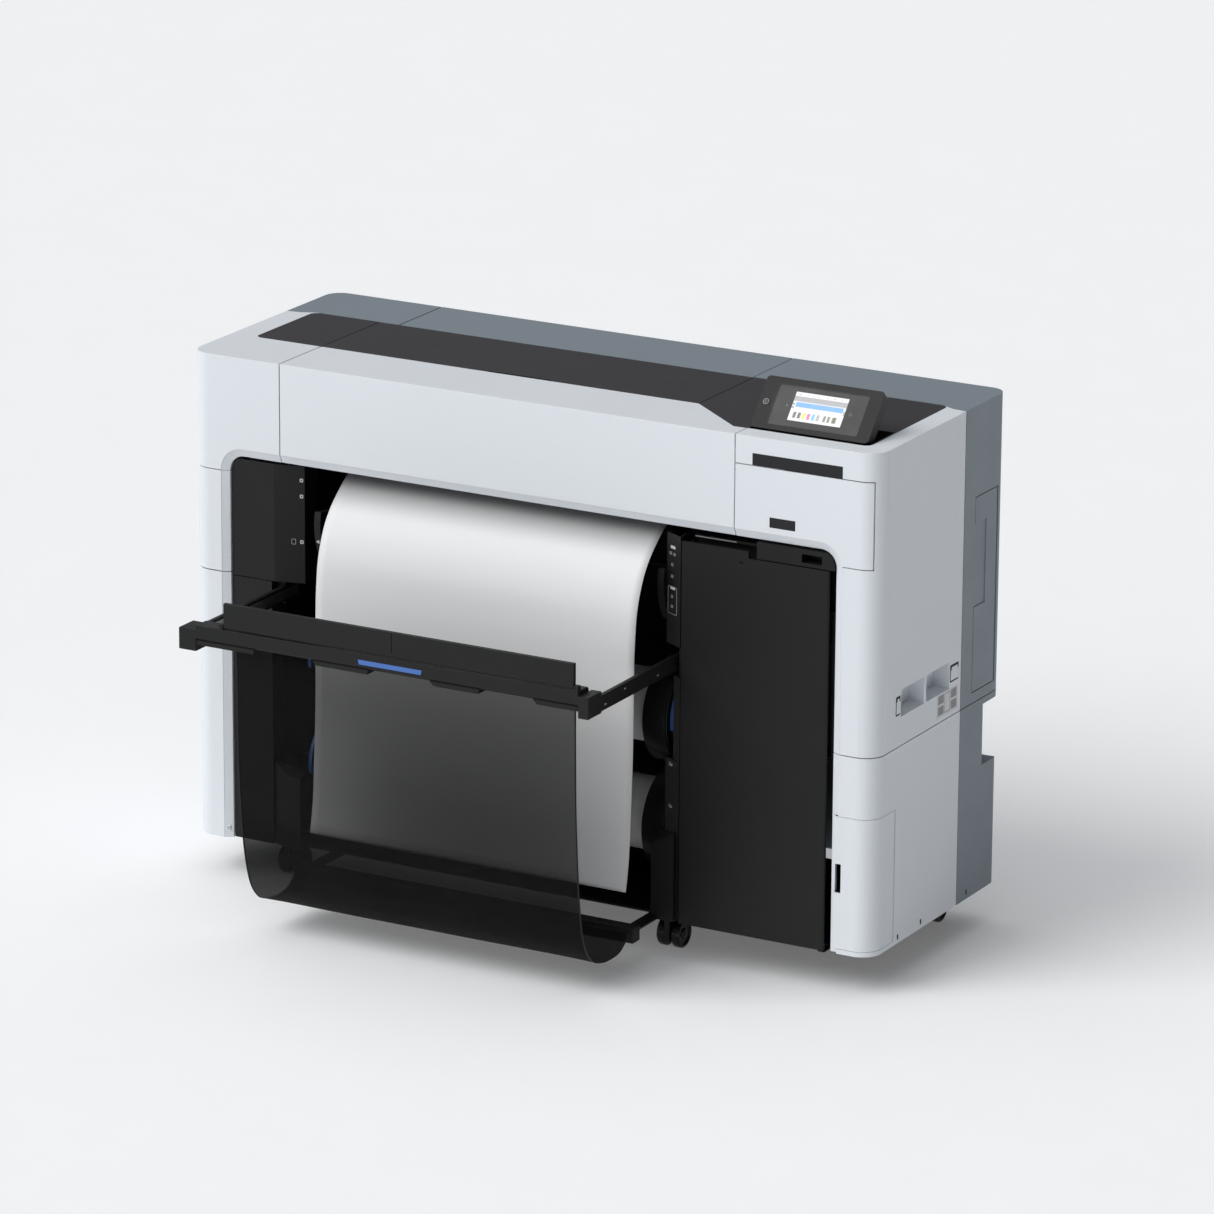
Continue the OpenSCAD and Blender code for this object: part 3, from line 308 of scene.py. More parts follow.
def make_materials():
    M["white"] = surface("white_plastic", (0.745, 0.775, 0.81), 0.50, grain=950, height=0.000035,
                         spread=0.014, specular=0.35)
    M["slate"] = surface("slate_plastic", (0.215, 0.252, 0.283), 0.48, grain=950, height=0.00003, spread=0.02,
                         specular=0.35)
    M["dark"] = surface("dark_plastic", (0.034, 0.031, 0.033), 0.42, grain=1500, height=0.00002, spread=0.03,
                        specular=0.30, smudge=0.015)
    M["housing"] = surface("display_plastic", (0.014, 0.014, 0.0145), 0.42, grain=1300, height=0.00002,
                           spread=0.04, specular=0.2, smudge=0.02)
    M["black"] = surface("black_plastic", (0.0088, 0.0088, 0.0090), 0.50, grain=1000, height=0.00004,
                         spread=0.07, specular=0.26, smudge=0.03)
    M["deep"] = surface("deep_black_plastic", (0.004, 0.004, 0.004), 0.6, grain=900, height=0.00004,
                        spread=0.1, specular=0.15)
    M["smooth"] = surface("smooth_black_plastic", (0.007, 0.007, 0.0075), 0.32, grain=1800, height=0.00001,
                          spread=0.06, specular=0.35)
    M["glass"] = surface("screen_glass", (0.018, 0.018, 0.019), 0.22, grain=2600, height=0.000002,
                         spread=0.03, specular=0.25)
    M["blue"] = surface("blue_plastic", (0.055, 0.155, 0.46), 0.36, grain=1200, height=0.00002, spread=0.05)
    M["lever"] = surface("lever_plastic", (0.06, 0.16, 0.42), 0.38, grain=1200, height=0.00002, spread=0.06)
    M["steel"] = surface("plated_steel", (0.52, 0.53, 0.54), 0.32, grain=320, height=0.00001, spread=0.06,
                         metal=1.0, stretch=(1, 12, 12))
    # painted shade: the frame's steel is given a near-black colour standing in for the shade inside the bay
    # and under the body
    M["painted"] = surface("frame_steel_in_painted_shade", (0.006, 0.006, 0.0065), 0.55, grain=400, height=0.00003,
                           spread=0.1, specular=0.2)
    M["zinc"] = surface("zinc_sheet", (0.34, 0.345, 0.35), 0.45, grain=160, height=0.00001, spread=0.12,
                        metal=1.0)
    M["paper"] = paper_with_painted_shade()
    M["ink"] = surface("cartridge_plastic", (0.05, 0.052, 0.056), 0.42, grain=1200, height=0.00002,
                       spread=0.08)
    M["rubber"] = surface("rubber", (0.012, 0.012, 0.012), 0.62, grain=700, height=0.00005, spread=0.12,
                          specular=0.3)
    M["belt"] = surface("belt_rubber", (0.015, 0.015, 0.016), 0.7, grain=500, height=0.0002, spread=0.1,
                        stretch=(6, 0.2, 0.2))
    M["mark"] = surface("white_print", (0.50, 0.50, 0.51), 0.5, grain=1600, height=0.00001, spread=0.05)
    M["plate"] = surface("name_plate", (0.008, 0.009, 0.010), 0.30, grain=1600, height=0.00001, spread=0.06,
                         specular=0.35)
    M["label"] = surface("label_film", (0.62, 0.625, 0.62), 0.32, grain=800, height=0.00001, spread=0.05)
    M["recess"] = surface("recess_shadow", (0.05, 0.051, 0.054), 0.8, grain=600, height=0.00004, spread=0.1,
                          specular=0.1)
    M["groove"] = surface("groove_grey", (0.30, 0.305, 0.315), 0.6, grain=900, height=0.00002, spread=0.04,
                          specular=0.2)
    M["cloth"] = net_cloth("net_cloth")
    M["hem"] = surface("hem_tape", (0.007, 0.007, 0.0075), 0.72, grain=1400, height=0.00008, spread=0.12,
                       sheen=0.1, specular=0.15, stretch=(1, 3, 3))


CAD_LOOKS = {
    "white": ["left_cover_upper", "left_cover_middle", "left_cover_lower", "right_cover", "right_hatch_cover",
              "right_cover_lower", "front_cover", "corner_door"],
    "slate": ["rear_cover_left", "rear_cover_middle", "rear_cover_right", "rear_cover_lower", "side_door"],
    "dark": ["top_panel_left", "top_panel_right", "front_cover_panel"],
    "housing": ["display_housing", "power_button"],
    "glass": ["display_screen"],
    "black": ["ink_door", "bay_panel_left", "bay_post_left", "bay_post_right", "ink_bay", "basket_frame",
              "basket_flap", "basket_rear_bar", "output_guide"],
    "deep": ["platen", "maintenance_box", "carriage"],
    "smooth": ["adapters_upper", "adapters_lower", "caster_front_left", "caster_front_right",
               "caster_rear_left", "caster_rear_right"],
    "lever": ["lock_lever_upper_left", "lock_lever_upper_right", "lock_lever_lower_left",
              "lock_lever_lower_right"],
    # frame: near black as painted shade inside the bay
    "painted": ["frame"],
    "zinc": ["power_supply"],
    "steel": ["feed_roller", "carriage_rail"],
    "belt": ["carriage_belt"],
    "ink": ["ink_cartridge_%d" % i for i in range(1, 7)],
    "rubber": ["wheels_front_left", "wheels_front_right", "wheels_rear_left", "wheels_rear_right"],
    "paper": ["paper_web"],
    "cloth": ["basket_cloth"],
}
EDGE_RADIUS = {"white": 1.1, "slate": 1.1, "dark": 0.6, "housing": 1.4, "black": 0.9, "smooth": 0.6,
               "lever": 1.0}


def dress_cad():
    """Materials and soft edges on the CAD nodes."""
    for look, names in CAD_LOOKS.items():
        for name in names:
            node = NODES[name]
            node.data.materials.clear()
            node.data.materials.append(M[look])
            if look in EDGE_RADIUS:
                weld = node.modifiers.new("weld", "WELD")
                weld.merge_threshold = 0.00002
                bevel = node.modifiers.new("edges", "BEVEL")
                bevel.width = EDGE_RADIUS[look] / 1000
                bevel.segments = 3
                bevel.limit_method = "ANGLE"
                bevel.angle_limit = math.radians(40)
                bevel.harden_normals = True
                bevel.miter_outer = "MITER_ARC"
    for name, z in (("roll_upper", 330), ("roll_lower", 140)):
        NODES[name].data.materials.clear()
        NODES[name].data.materials.append(roll_paper("paper_on_" + name, 118, z))


# ---------------------------------------------------------------- making pieces

def new_piece(name, bm, look, body=None, smooth=True):
    bmesh.ops.recalc_face_normals(bm, faces=bm.faces)
    mesh = bpy.data.meshes.new(name)
    bm.to_mesh(mesh)
    bm.free()
    piece = bpy.data.objects.new(name, mesh)
    bpy.context.scene.collection.objects.link(piece)
    if look:
        mesh.materials.append(M[look])
    if smooth:
        mesh.shade_smooth()
        mesh.set_sharp_from_angle(angle=math.radians(38))
    if body:
        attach(piece, body)
    return piece


def grid_piece(name, rows, look=None, body=None, thick=0.0):
    """Sheet through rows of points in the row frame, with UVs in metres along and across."""
    bm = bmesh.new()
    made = [[bm.verts.new(p) for p in row] for row in rows]
    layer = bm.loops.layers.uv.new("UVMap")
    along = [0.0]
    for first, second in zip(rows, rows[1:]):
        along.append(along[-1] + (Vector(second[0]) - Vector(first[0])).length)
    across = [0.0]
    for first, second in zip(rows[0], rows[0][1:]):
        across.append(across[-1] + (Vector(second) - Vector(first)).length)
    for i in range(len(rows) - 1):
        for j in range(len(rows[0]) - 1):
            corners = ((i, j), (i, j + 1), (i + 1, j + 1), (i + 1, j))
            face = bm.faces.new([made[a][b] for a, b in corners])
            for loop, (a, b) in zip(face.loops, corners):
                loop[layer].uv = (across[b], along[a])
    piece = new_piece(name, bm, look, body)
    if thick:
        solid = piece.modifiers.new("thickness", "SOLIDIFY")
        solid.thickness = thick
        solid.offset = 0
    return piece


def prism(name, outline, axis, low, high, look, body, bevel=0.6):
    """Outline in the two other directions, extruded along an axis and with rounded edges."""
    order = {"x": lambda a, b, c: (c, a, b), "y": lambda a, b, c: (a, c, b), "z": lambda a, b,
             c: (a, b, c)}[axis]
    bm = bmesh.new()
    lower = [bm.verts.new(at(*order(a, b, low))) for a, b in outline]
    upper = [bm.verts.new(at(*order(a, b, high))) for a, b in outline]
    bm.faces.new(lower)
    bm.faces.new(upper)
    for i in range(len(outline)):
        j = (i + 1) % len(outline)
        bm.faces.new([lower[i], lower[j], upper[j], upper[i]])
    bmesh.ops.recalc_face_normals(bm, faces=bm.faces)
    if bevel:
        sharp = [e for e in bm.edges if len(e.link_faces) == 2 and e.calc_face_angle(0) > math.radians(28)]
        bmesh.ops.bevel(bm, geom=sharp, offset=bevel / 1000, segments=2, affect="EDGES", clamp_overlap=True)
    return new_piece(name, bm, look, body)


def lathe(name, profile, centre, axis, look, body, steps=64):
    """Profile of (distance along the axis, radius) in millimetres, turned about an axis."""
    along = {"x": Vector((1, 0, 0)), "y": Vector((0, 1, 0)), "z": Vector((0, 0, 1))}[axis]
    side = Vector((0, 0, 1)) if axis != "z" else Vector((1, 0, 0))
    third = along.cross(side)
    bm = bmesh.new()
    rings = []
    for distance, radius in profile:
        middle = at(*centre) + along * distance / 1000
        if radius <= 0:
            rings.append([bm.verts.new(middle)])
            continue
        ring = []
        for i in range(steps):
            angle = 2 * math.pi * i / steps
            ring.append(bm.verts.new(middle
                                     + (side * math.cos(angle) + third * math.sin(angle)) * radius / 1000))
        rings.append(ring)
    for first, second in zip(rings, rings[1:]):
        for i in range(steps):
            j = (i + 1) % steps
            if len(first) == 1 and len(second) == 1:
                continue
            if len(first) == 1:
                bm.faces.new([first[0], second[i], second[j]])
            elif len(second) == 1:
                bm.faces.new([first[i], first[j], second[0]])
            else:
                bm.faces.new([first[i], first[j], second[j], second[i]])
    return new_piece(name, bm, look, body)


def box_shape(u, v, width, height, radius=0.0):
    """Outline of a box about (u, v), with rounded corners."""
    if radius <= 0:
        a, b = width / 2, height / 2
        return [(u - a, v - b), (u + a, v - b), (u + a, v + b), (u - a, v + b)]
    points = []
    for corner in range(4):
        cu = u + (width / 2 - radius) * (1 if corner in (0, 3) else -1)
        cv = v + (height / 2 - radius) * (1 if corner < 2 else -1)
        for i in range(5):
            angle = math.pi / 2 * (corner + i / 4)
            points.append((cu + radius * math.cos(angle), cv + radius * math.sin(angle)))
    return points


def round_shape(u, v, radius, start=0.0, end=360.0, steps=24):
    return [(u + radius * math.cos(math.radians(start + (end - start) * i / steps)),
             v + radius * math.sin(math.radians(start + (end - start) * i / steps))) for i in range(steps)]


def ring_shapes(outer, inner):
    """Quads between two outlines with the same number of points."""
    count = len(outer)
    return [[outer[i], outer[(i + 1) % count], inner[(i + 1) % count], inner[i]] for i in range(count)]


def arc_shapes(u, v, radius, width, start, end, steps=16):
    shapes = []
    for i in range(steps):
        angles = [math.radians(start + (end - start) * k / steps) for k in (i, i + 1)]
        shapes.append([(u + r * math.cos(a), v + r * math.sin(a)) for r, a in
                       ((radius, angles[0]), (radius, angles[1]), (radius - width, angles[1]),
                        (radius - width, angles[0]))])
    return shapes


def printed(name, shapes, origin, across, up, look, body, proud=0.12):
    """Flat marks on a plane: each shape is an outline in millimetres from the origin."""
    across = Vector(across).normalized()
    up = Vector(up).normalized()
    out = across.cross(up)
    bm = bmesh.new()
    for shape in shapes:
        base = [at(*(Vector(origin) + across * u + up * v)) for u, v in shape]
        top = [bm.verts.new(p + out * proud / 1000) for p in base]
        low = [bm.verts.new(p - out * 0.1 / 1000) for p in base]
        bm.faces.new(top)
        for i in range(len(base)):
            j = (i + 1) % len(base)
            bm.faces.new([low[i], low[j], top[j], top[i]])
    return new_piece(name, bm, look, body, smooth=False)


def smooth_line(points, count):
    """Evenly spaced points on a smooth curve through the given ones."""
    padded = [points[0]] + list(points) + [points[-1]]
    fine = []
    for i in range(1, len(padded) - 2):
        p0, p1, p2, p3 = (Vector(p) for p in padded[i - 1:i + 3])
        for k in range(24):
            t = k / 24
            fine.append(0.5 * ((2 * p1) + (p2 - p0) * t + (2 * p0 - 5 * p1 + 4 * p2 - p3) * t * t
                               + (3 * p1 - p0 - 3 * p2 + p3) * t ** 3))
    fine.append(Vector(points[-1]))
    lengths = [0.0]
    for a, b in zip(fine, fine[1:]):
        lengths.append(lengths[-1] + (b - a).length)
    result, k = [], 0
    for i in range(count):
        goal = lengths[-1] * i / (count - 1)
        while k < len(lengths) - 2 and lengths[k + 1] < goal:
            k += 1
        part = (goal - lengths[k]) / max(1e-9, lengths[k + 1] - lengths[k])
        result.append(fine[k].lerp(fine[k + 1], min(1.0, part)))
    return result, lengths[-1]


# ---------------------------------------------------------------- media and cloth

def make_media():
    """Paper web over its wide bend, with a little curl at the free end; its colour carries painted shade down
    the hanging part and a painted shadow of the cover at the top.
    """
    line, length = smooth_line([(66, 671.5), (49, 670), (20, 651), (-12, 623), (-34, 592), (-51, 548),
                                (-58, 500), (-61, 440), (-63, 300), (-69, 196), (-74, 126), (-84, 70)], 110)
    x0, x1 = -370.0, 240.0
    rows = []
    for k, (y, z) in enumerate(line):
        free = k / 109
        row = []
        for j in range(41):
            s = j / 40
            bow = 2.2 * free * math.sin(math.pi * s) + 0.5 * free * math.sin(7 * s + 5 * free)
            row.append(at(x0 + (x1 - x0) * s, y - bow, z))
        rows.append(row)
    web = grid_piece("media_web", rows, "paper", "chassis", thick=0.0003)
    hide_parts("paper_web")


CLOTH_LINE = [(-276, 462), (-279, 440), (-277, 330), (-274, 240), (-263, 112), (-246, 34), (-220, -4),
              (-190, -17), (-160, -21), (-130, -19), (-110, -8), (-97, 4)]
CLOTH_X = (-390.0, 254.0)


def cloth_point(line, k, s):
    """Place of the cloth at step k down its line and share s of its width."""
    last = len(line) - 1
    y, z = line[k]
    t = k / last
    slack = math.sin(math.pi * min(1, t * 1.05)) ** 2
    wave = 1.6 * math.sin(2.3 * math.pi * s + 2.0 * t) + 0.9 * math.sin(5.1 * math.pi * s + 6.5 * t + 1.3)
    edge = math.exp(-((s / 0.05) ** 2)) + math.exp(-(((1 - s) / 0.05) ** 2))
    inward = (Vector(line[min(k + 1, last)]) - Vector(line[max(k - 1, 0)])).normalized()
    push = slack * (wave - 3.0 * edge)
    return at(CLOTH_X[0] + (CLOTH_X[1] - CLOTH_X[0]) * s, y - inward.y * push, z + inward.x * push)


def make_cloth():
    line, length = smooth_line(CLOTH_LINE, 120)
    rows = [[cloth_point(line, k, j / 56) for j in range(57)] for k in range(120)]
    cloth = grid_piece("catch_cloth", rows, "cloth", thick=0.0)
    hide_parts("basket_cloth")
    hems = []
    for name, shares in (("hem_left", (0.0, 0.002, 0.004)), ("hem_right", (0.996, 0.998, 1.0))):
        strip = [[cloth_point(line, k, s) for s in shares] for k in range(120)]
        hem = grid_piece(name, strip, "hem", thick=0.0008)
        hems.append(hem)
    for piece in [cloth] + hems:
        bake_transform(piece)


# ---------------------------------------------------------------- the display

DISPLAY = dict(origin=(392, 46, 858), across=(1, 0, 0),
               up=(0, math.cos(math.radians(49)), math.sin(math.radians(49))))


def on_display(name, shapes, look, body="display", proud=0.1):
    return printed(name, shapes, DISPLAY["origin"], DISPLAY["across"], DISPLAY["up"], look, body, proud)


def make_display():
    colours = {
        "lcd_white": ((0.86, 0.88, 0.90), 0.75), "lcd_grey": ((0.42, 0.42, 0.45), 0.6),
        "lcd_blue": ((0.05, 0.36, 0.95), 0.8),
        "lcd_dark": ((0.05, 0.05, 0.055), 0.4), "lcd_yellow": ((0.95, 0.86, 0.02), 0.8),
        "lcd_pink": ((0.86, 0.05, 0.33), 0.8),
        "lcd_cyan": ((0.0, 0.55, 0.85), 0.8), "lcd_silver": ((0.5, 0.5, 0.51), 0.6),
        "lcd_olive": ((0.19, 0.18, 0.06), 0.5),
    }
    for name, (colour, strength) in colours.items():
        M[name] = glow(name, colour, strength)
    on_display("lcd_page", [box_shape(108.5, 47, 96, 52, 0.8)], "lcd_white", proud=-0.28)
    on_display("lcd_strip", [box_shape(108.5, 61.0, 96, 9)], "lcd_grey", proud=-0.24)
    on_display("lcd_bar", [box_shape(109.5, 50.6, 86, 8.4)], "lcd_blue", proud=-0.24)
    on_display("lcd_tabs",
               [box_shape(62.6, 51, 4.2, 4), box_shape(62.6, 45, 4.2, 4), box_shape(155.2, 46, 2.4, 8)],
               "lcd_grey", proud=-0.22)
    on_display("lcd_icons",
               [box_shape(u, 68.8, w, 1.1) for u, w in ((68, 4), (84, 2), (92, 1.5), (101, 3.5), (118, 2.5),
                                                                  (131, 3), (145, 1.6), (152, 1.6))],
                                                                  "lcd_grey", proud=-0.22)
    bars = (("dark", 70.0), ("dark", 78.5), ("yellow", 87.0), ("pink", 95.5), ("cyan", 104.0),
            ("silver", 112.5), ("olive", 124.5), ("olive", 132.0), ("olive", 140.5), ("olive", 143.4))
    for look in ("dark", "yellow", "pink", "cyan", "silver", "olive"):
        shapes = [box_shape(u, 31.5, 5.2 if u < 120 else 4.4, 10.5) for name, u in bars if name == look]
        on_display("lcd_ink_" + look, shapes, "lcd_" + look, proud=-0.22)
    home = [[(49.3, 46.8), (51.5, 49.2), (53.7, 46.8), (52.9, 46.8), (51.5, 48.3), (50.1, 46.8)],
            [(50.1, 46.8), (50.7, 46.8), (50.7, 44.6), (50.1, 44.6)],
            [(52.3, 46.8), (52.9, 46.8), (52.9, 44.6), (52.3, 44.6)],
            [(50.7, 45.1), (52.3, 45.1), (52.3, 44.6), (50.7, 44.6)]]
    info = arc_shapes(167.1, 46.6, 2.9, 0.55, 0, 360, 28) + [box_shape(167.1, 46.1, 0.6, 1.8),
                                                             box_shape(167.1, 48.0, 0.6, 0.6)]
    on_display("display_keys", home + info, "mark", proud=-0.3)
    power = arc_shapes(13, 47.5, 5.0, 0.7, 0, 360, 40) + arc_shapes(13, 47.5, 2.1, 0.45, 125, 415, 20)
    power.append(box_shape(13, 49.2, 0.5, 1.7))
    on_display("power_ring", power, "mark", "power_button", proud=0.7)
    on_display("display_bezel",
               ring_shapes(box_shape(109, 46.25, 163.4, 73.9, 3.4), box_shape(109, 46.25, 161.8, 72.3, 2.8)),
               "smooth", proud=0.16)


# ---------------------------------------------------------------- marks and small parts

def make_marks():
    slant = dict(origin=(-494, 10, 0), across=(52, 14, 0), up=(0, 0, 1))
    shapes = [box_shape(48.3, z, 6.0, 6.4, 1.2) for z in (651.9, 623.9, 543.9)]
    printed("left_marks", shapes, slant["origin"], slant["across"], slant["up"], "mark", "chassis")
    printed("left_mark_dots", [round_shape(48.3, z, 1.3) for z in (651.9, 623.9, 543.9)], slant["origin"],
            slant["across"], slant["up"], "black", "chassis", proud=0.2)
    page = ring_shapes(box_shape(34, 543.7, 7.5, 9.4, 1.0), box_shape(34, 543.7, 6.3, 8.2, 0.8))
    printed("left_page_mark", page, slant["origin"], slant["across"], slant["up"], "mark", "chassis")
    column = dict(origin=(257, 18, 0), across=(35, -18, 0), up=(0, 0, 1))
    shapes = [box_shape(17, z, 13.5, 5.0, 1.4) for z in (644.4, 574.7)]
    for u, z in ((10.5, 633.2), (21.5, 633.2), (15, 614.3), (15, 594.5), (15.0, 560.2), (15.0, 543.1)):
        shapes += ring_shapes(box_shape(u, z, 5.6, 4.6, 0.8), box_shape(u, z, 4.4, 3.4, 0.5))
        shapes.append(box_shape(u + 0.4, z, 2.0, 0.7))
    shapes += ring_shapes(box_shape(16.2, 553.5, 25.6, 47.0, 3.0), box_shape(16.2, 553.5, 24.2, 45.6, 2.4))
    for z in (271.3, 198.6):
        shapes += arc_shapes(13.6, z, 3.4, 0.9, 0, 360, 26) + [box_shape(18.2, z - 0.6, 4.4, 3.6, 0.6)]
        shapes += arc_shapes(13.6, z, 1.4, 0.5, 0, 360, 14)
    printed("right_marks", shapes, column["origin"], column["across"], column["up"], "mark", "chassis")
    printed("name_plate", [box_shape(504, 818, 164, 20, 0.8)], (0, 0, 0), (1, 0, 0), (0, 0, 1), "plate",
            "chassis", proud=0.3)
    printed("badge_left", [box_shape(478, 716, 47, 17, 0.8)], (0, 0, 0), (1, 0, 0), (0, 0, 1), "plate",
            "chassis", proud=0.2)
    printed("bar_strip", [[(-141, 463), (-24, 463), (-22, 471), (-143, 471)]], (0, -300, 0), (1, 0, 0),
            (0, 0, 1), "blue", "basket", proud=0.4)
    ovals = [box_shape(y, z, 6.2, 2.0, 1.0) for y, z in ((-236, 445.4), (-171, 454.0), (-60, 446.0))]
    printed("arm_slots", ovals, (284, 0, 0), (0, 1, 0), (0, 0, 1), "mark", "basket",
            proud=0.08)
    printed("side_label", [box_shape(262.5, 371, 78, 41, 1.5)], (652.5, 0, 0), (0, 1, 0), (0, 0, 1), "label",
            "chassis", proud=0.1)
    blocks = [box_shape(y, z, 21, 15, 1.0) for y in (239, 286) for z in (362, 381)]
    blocks += ring_shapes(box_shape(262.5, 371, 20, 34, 2.0), box_shape(262.5, 371, 17, 31, 1.5))
    printed("side_label_blocks", blocks, (652.5, 0, 0), (0, 1, 0), (0, 0, 1), "groove", "chassis",
            proud=0.16)
    holes = [box_shape(y, z, 5, 9, 0.8) for y, z in ((95, 11), (179.4, 12), (349.4, 12.5))]
    printed("side_holes", holes, (652.5, 0, 0), (0, 1, 0), (0, 0, 1), "recess", "chassis",
            proud=0.05)


def make_bar_skirt():
    """Stepped lower edge of the basket's cross bar."""
    spans = ((-456, -342), (-233, -123), (-10, 86), (183, 269))
    bm_top = 456
    for i, (x0, x1) in enumerate(spans):
        outline = [(x0, bm_top), (x0 + (0 if i == 0 else 9), 447), (x1 - (0 if i == 3 else 2), 447),
                   (x1, bm_top)]
        prism("bar_skirt_%d" % (i + 1), outline, "y", -299.2, -266, "black", "basket", 1.2)


def screw(name, place, axis, out, body, radius=4.2):
    """Pan head with a socket, its face turned towards out (1 or -1) along the axis."""
    profile = [(0.4, 0), (0.4, 1.0), (1.2, 0.95), (1.8, 0.76), (1.9, 0.38), (0.9, 0.34), (0.8, 0)]
    lathe(name, [(d * out, r * radius) for d, r in profile], place, axis, "steel", body, 32)


def make_grip():
    """Clips at both ends of the carrying grip, in dark slots."""
    for name, y0, y1, z0, z1 in (("grip_clip_front", 73, 89, 397, 430),
                                 ("grip_clip_rear", 271, 302, 401, 431)):
        printed(name + "_slot", [box_shape((y0 + y1) / 2, (z0 + z1) / 2, y1 - y0, z1 - z0, 2.0)],
                (652.5, 0, 0), (0, 1, 0), (0, 0, 1), "recess", "chassis", proud=0.05)
        outline = [(y0 + 2, z0 + 3), (y1 - 2, z0 + 3), (y1 - 2, z1 - 9), (y1 - 5, z1 - 9), (y1 - 5, z1 - 4),
                   (y0 + 5, z1 - 4), (y0 + 5, z1 - 9), (y0 + 2, z1 - 9)]
        prism(name, outline, "x", 652.2, 653.6, "white", "chassis", 0.5)


BORDER = dict(x0=-579.0, x1=574.0, z1=683.0, r=28.0, width=14.0, low=7.0)


def border_path():
    """Points and outward directions along the edge of the front opening, from lower left to lower right."""
    b = BORDER
    path = [(b["x0"], z, -1.0, 0.0) for z in (0.3, 475.2, 476.8, 654.2, 655.0)]
    for i in range(13):
        a = math.pi - math.pi / 2 * i / 12
        path.append((b["x0"] + b["r"] + b["r"] * math.cos(a), b["z1"] - b["r"] + b["r"] * math.sin(a),
                     math.cos(a), math.sin(a)))
    path += [(x, b["z1"], 0.0, 1.0) for x in (-476.8, -475.2, 389.2, 390.8)]
    for i in range(13):
        a = math.pi / 2 - math.pi / 2 * i / 12
        path.append((b["x1"] - b["r"] + b["r"] * math.cos(a), b["z1"] - b["r"] + b["r"] * math.sin(a),
                     math.cos(a), math.sin(a)))
    path += [(b["x1"], z, 1.0, 0.0) for z in (342.8, 341.2, 238.5)]
    return path


def make_border():
    """Sloping band around the front opening, split where the covers are."""
    path = border_path()
    spans = (("border_left_lower", 0, 1, "chassis"), ("border_left_middle", 2, 3, "chassis"),
             ("border_left_upper", 4, 18, "chassis"), ("border_cover", 19, 20, "front_cover"),
             ("border_right_upper", 21, 35, "chassis"), ("border_right_lower", 36, 37, "chassis"))
    for name, first, last, body in spans:
        bm = bmesh.new()
        rings = []
        for x, z, nx, nz in path[first:last + 1]:
            section = ((BORDER["width"] - 0.2, 0.5), (0.3, BORDER["low"] - 0.1),
                       (BORDER["width"] - 0.2, BORDER["low"] - 0.1))
            rings.append([bm.verts.new(at(x + nx * out, y, z + nz * out)) for out, y in section])
        for ring, after in zip(rings, rings[1:]):
            for i in range(3):
                j = (i + 1) % 3
                bm.faces.new([ring[i], ring[j], after[j], after[i]])
        bm.faces.new(rings[0])
        bm.faces.new(rings[-1][::-1])
        new_piece(name, bm, "white", body)


def slanted_block(name, plan, heights, low, body="chassis"):
    """Block on a plan of (x, y) points whose top has its own height at each point."""
    bm = bmesh.new()
    lower = [bm.verts.new(at(x, y, low)) for x, y in plan]
    upper = [bm.verts.new(at(x, y, z)) for (x, y), z in zip(plan, heights)]
    bm.faces.new(lower)
    bmesh.ops.triangulate(bm, faces=[bm.faces.new(upper)])
    for i in range(len(plan)):
        j = (i + 1) % len(plan)
        bm.faces.new([lower[i], lower[j], upper[j], upper[i]])
    bmesh.ops.recalc_face_normals(bm, faces=bm.faces)
    sharp = [e for e in bm.edges if e.calc_face_angle(0) > math.radians(20)]
    bmesh.ops.bevel(bm, geom=sharp, offset=0.0008, segments=2, affect="EDGES", clamp_overlap=True)
    new_piece(name, bm, "black", body)


def make_bay_details():
    """Foot blocks beside the rolls, the bright strip of the left arm, and the guide's pointer."""
    slanted_block("foot_block_left", [(-499.4, 14), (-460, 0), (-440, 0), (-440, 23.5), (-499.4, 23.5)],
                  [148, 131, 130, 138, 150], 0.5)
    slanted_block("foot_block_right", [(241, -1), (284, -1), (284, 16), (241, 23.5)], [132, 156, 158, 150],
                  0.5)
    prism("arm_strip_left", [(-240, 441), (58, 441), (58, 458), (-240, 458)], "x", -477.1, -476.2, "steel",
          "basket", 0.3)
    printed("guide_pointer", [[(-4.2, 0), (2.4, -3.6), (2.4, 3.6)]], (-408, 11.2, 553), (1, 0, 0), (0, 0, 1),
            "mark", "output_guide", proud=0.3)
    printed("door_slot", [box_shape(345, 666.5, 76, 2.0)], (0, 22, 0), (1, 0, 0), (0, 0, 1), "groove",
            "chassis", proud=0.2)


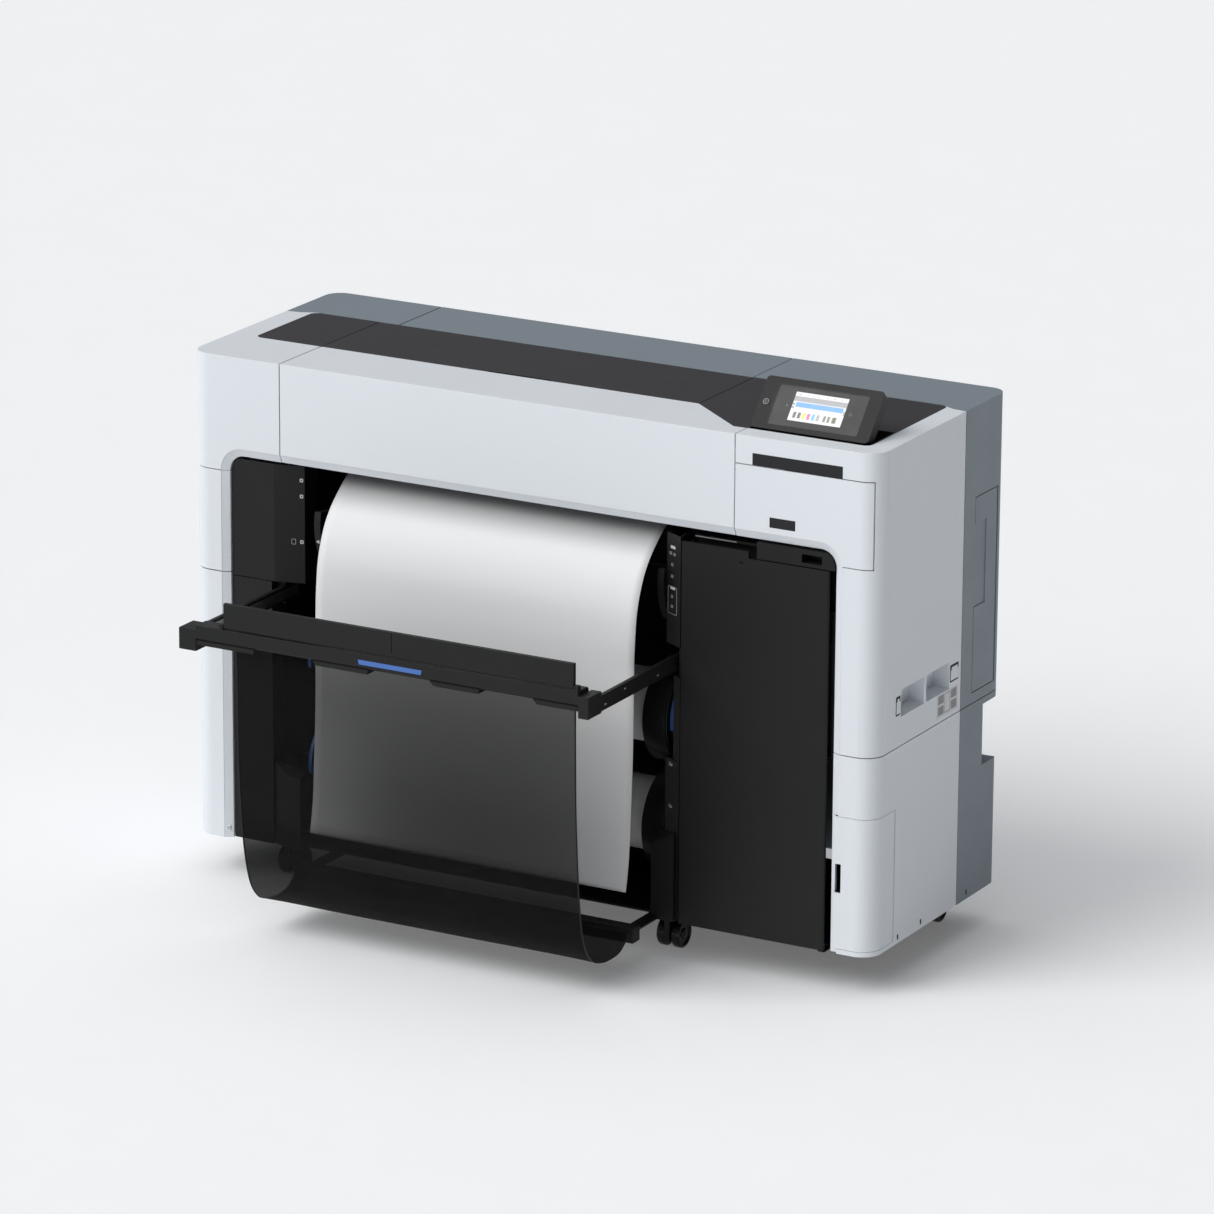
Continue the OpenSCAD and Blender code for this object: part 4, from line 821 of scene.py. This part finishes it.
def make_back():
    """Louvres, screws and a blank plate on the rear covers."""
    back = dict(across=(-1, 0, 0), up=(0, 0, 1))
    for name, x in (("back_louvres_left", -548), ("back_louvres_right", 560)):
        rows = [box_shape(-x, 520 + 13 * i, 78, 5, 2.4) for i in range(12)]
        printed(name, rows, (0, 470, 0), back["across"], back["up"], "recess", "chassis",
                proud=0.1)
        for i in range(12):
            lip = [(470, 523 + 13 * i), (471.6, 523.4 + 13 * i), (471.6, 524.4 + 13 * i), (470, 525 + 13 * i)]
            prism("%s_lip_%d" % (name, i + 1), lip, "x", x - 39, x + 39, "slate", "chassis",
                  0.2)
    for i, (x, z) in enumerate([(-600, 380), (-470, 380), (-600, 820), (-470, 820), (-400, 380), (210, 380),
                                (-400, 820),
                                (210, 820), (290, 380), (600, 380), (290, 820), (600, 820), (-600, 20),
                                (0, 20), (600, 20), (-300, 20), (300, 20)]):
        screw("back_screw_%d" % (i + 1), (x, 470, z), "y", 1, "chassis")
    printed("back_plate", [box_shape(440, 50, 74, 34, 1.5)], (0, 470, 0), back["across"], back["up"], "label",
            "chassis", proud=0.12)
    lines = [box_shape(440, 39 + 5.5 * i, 62 - 9 * (i % 3), 1.4) for i in range(5)]
    printed("back_plate_rules", lines, (0, 470, 0), back["across"], back["up"], "groove", "chassis",
            proud=0.18)


WHEELS = {"wheels_front_left": (-497, 60), "wheels_front_right": (246, 60),
          "wheels_rear_left": (-560.5, 390), "wheels_rear_right": (560.5, 390)}


def make_wheels():
    """Twin wheels with a rounded tread and a dished hub."""
    for name, (x, y) in WHEELS.items():
        centre = (x, y + 14, -45)
        for side in (-1, 1):
            profile = [(5.8, 3.6), (5.8, 19.5), (6.6, 23.4), (8.6, 24.9), (18.4, 24.9), (20.6, 23.6),
                       (21.6, 21.2),
                       (21.2, 19.6), (19.0, 18.8), (18.6, 9.4), (20.4, 8.6), (21.4, 7.2), (21.6, 3.6),
                       (5.8, 3.6)]
            part = lathe("%s_%s" % (name, "a" if side < 0 else "b"), [(d * side, r) for d, r in profile],
                         centre, "x", "smooth", name, 72)
        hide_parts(name)


# Axis of the rolls, and the outer faces of their flanges
ROLL_Y = 118
ROLL_Z = {"roll_upper": 330, "roll_lower": 140}
FLANGE_FACES = (("left", -378, -1), ("right", 248, 1))
RIBS = 10
RIB_OUTER = 80
# The right-hand ribs are shorter
RIB_INNER = {"left": 46, "right": 67}
RIB_HALF = 1.2
RIB_PROUD = 1.6


def make_flange_rings():
    """Moulded rings and ribs on the outer faces of the roll flanges."""
    for roll, z in ROLL_Z.items():
        for end, face, out in FLANGE_FACES:
            for i, radius in enumerate((84, 66, 40)):
                profile = [(0, radius - 3), (1.5, radius - 2.6), (2.0, radius - 1.5), (1.5, radius - 0.4),
                           (0, radius)]
                if end == "right" and radius < 50:
                    continue
                lathe("%s_%s_ring_%d" % (roll, end, i + 1), [(d * out, r) for d, r in profile],
                      (face, ROLL_Y, z), "x", "smooth", roll, 72)
            inner = RIB_INNER[end]
            for i in range(RIBS):
                angle = 2 * math.pi * i / RIBS
                c, s = math.cos(angle), math.sin(angle)
                corners = ((inner, -RIB_HALF), (RIB_OUTER, -RIB_HALF),
                           (RIB_OUTER, RIB_HALF), (inner, RIB_HALF))
                outline = [(ROLL_Y + c * r - s * w, z + s * r + c * w) for r, w in corners]
                low, high = sorted((face, face + RIB_PROUD * out))
                prism("%s_%s_rib_%d" % (roll, end, i + 1), outline, "x", low, high, "smooth", roll,
                      0.3)


make_camera()
make_materials()
make_stage()
dress_cad()
make_media()
make_cloth()
make_display()
make_marks()
make_bar_skirt()
screw("border_screw", (-586, 4.0, 18), "y", -1, "chassis")
make_grip()
make_border()
make_bay_details()
make_back()
make_wheels()
make_flange_rings()
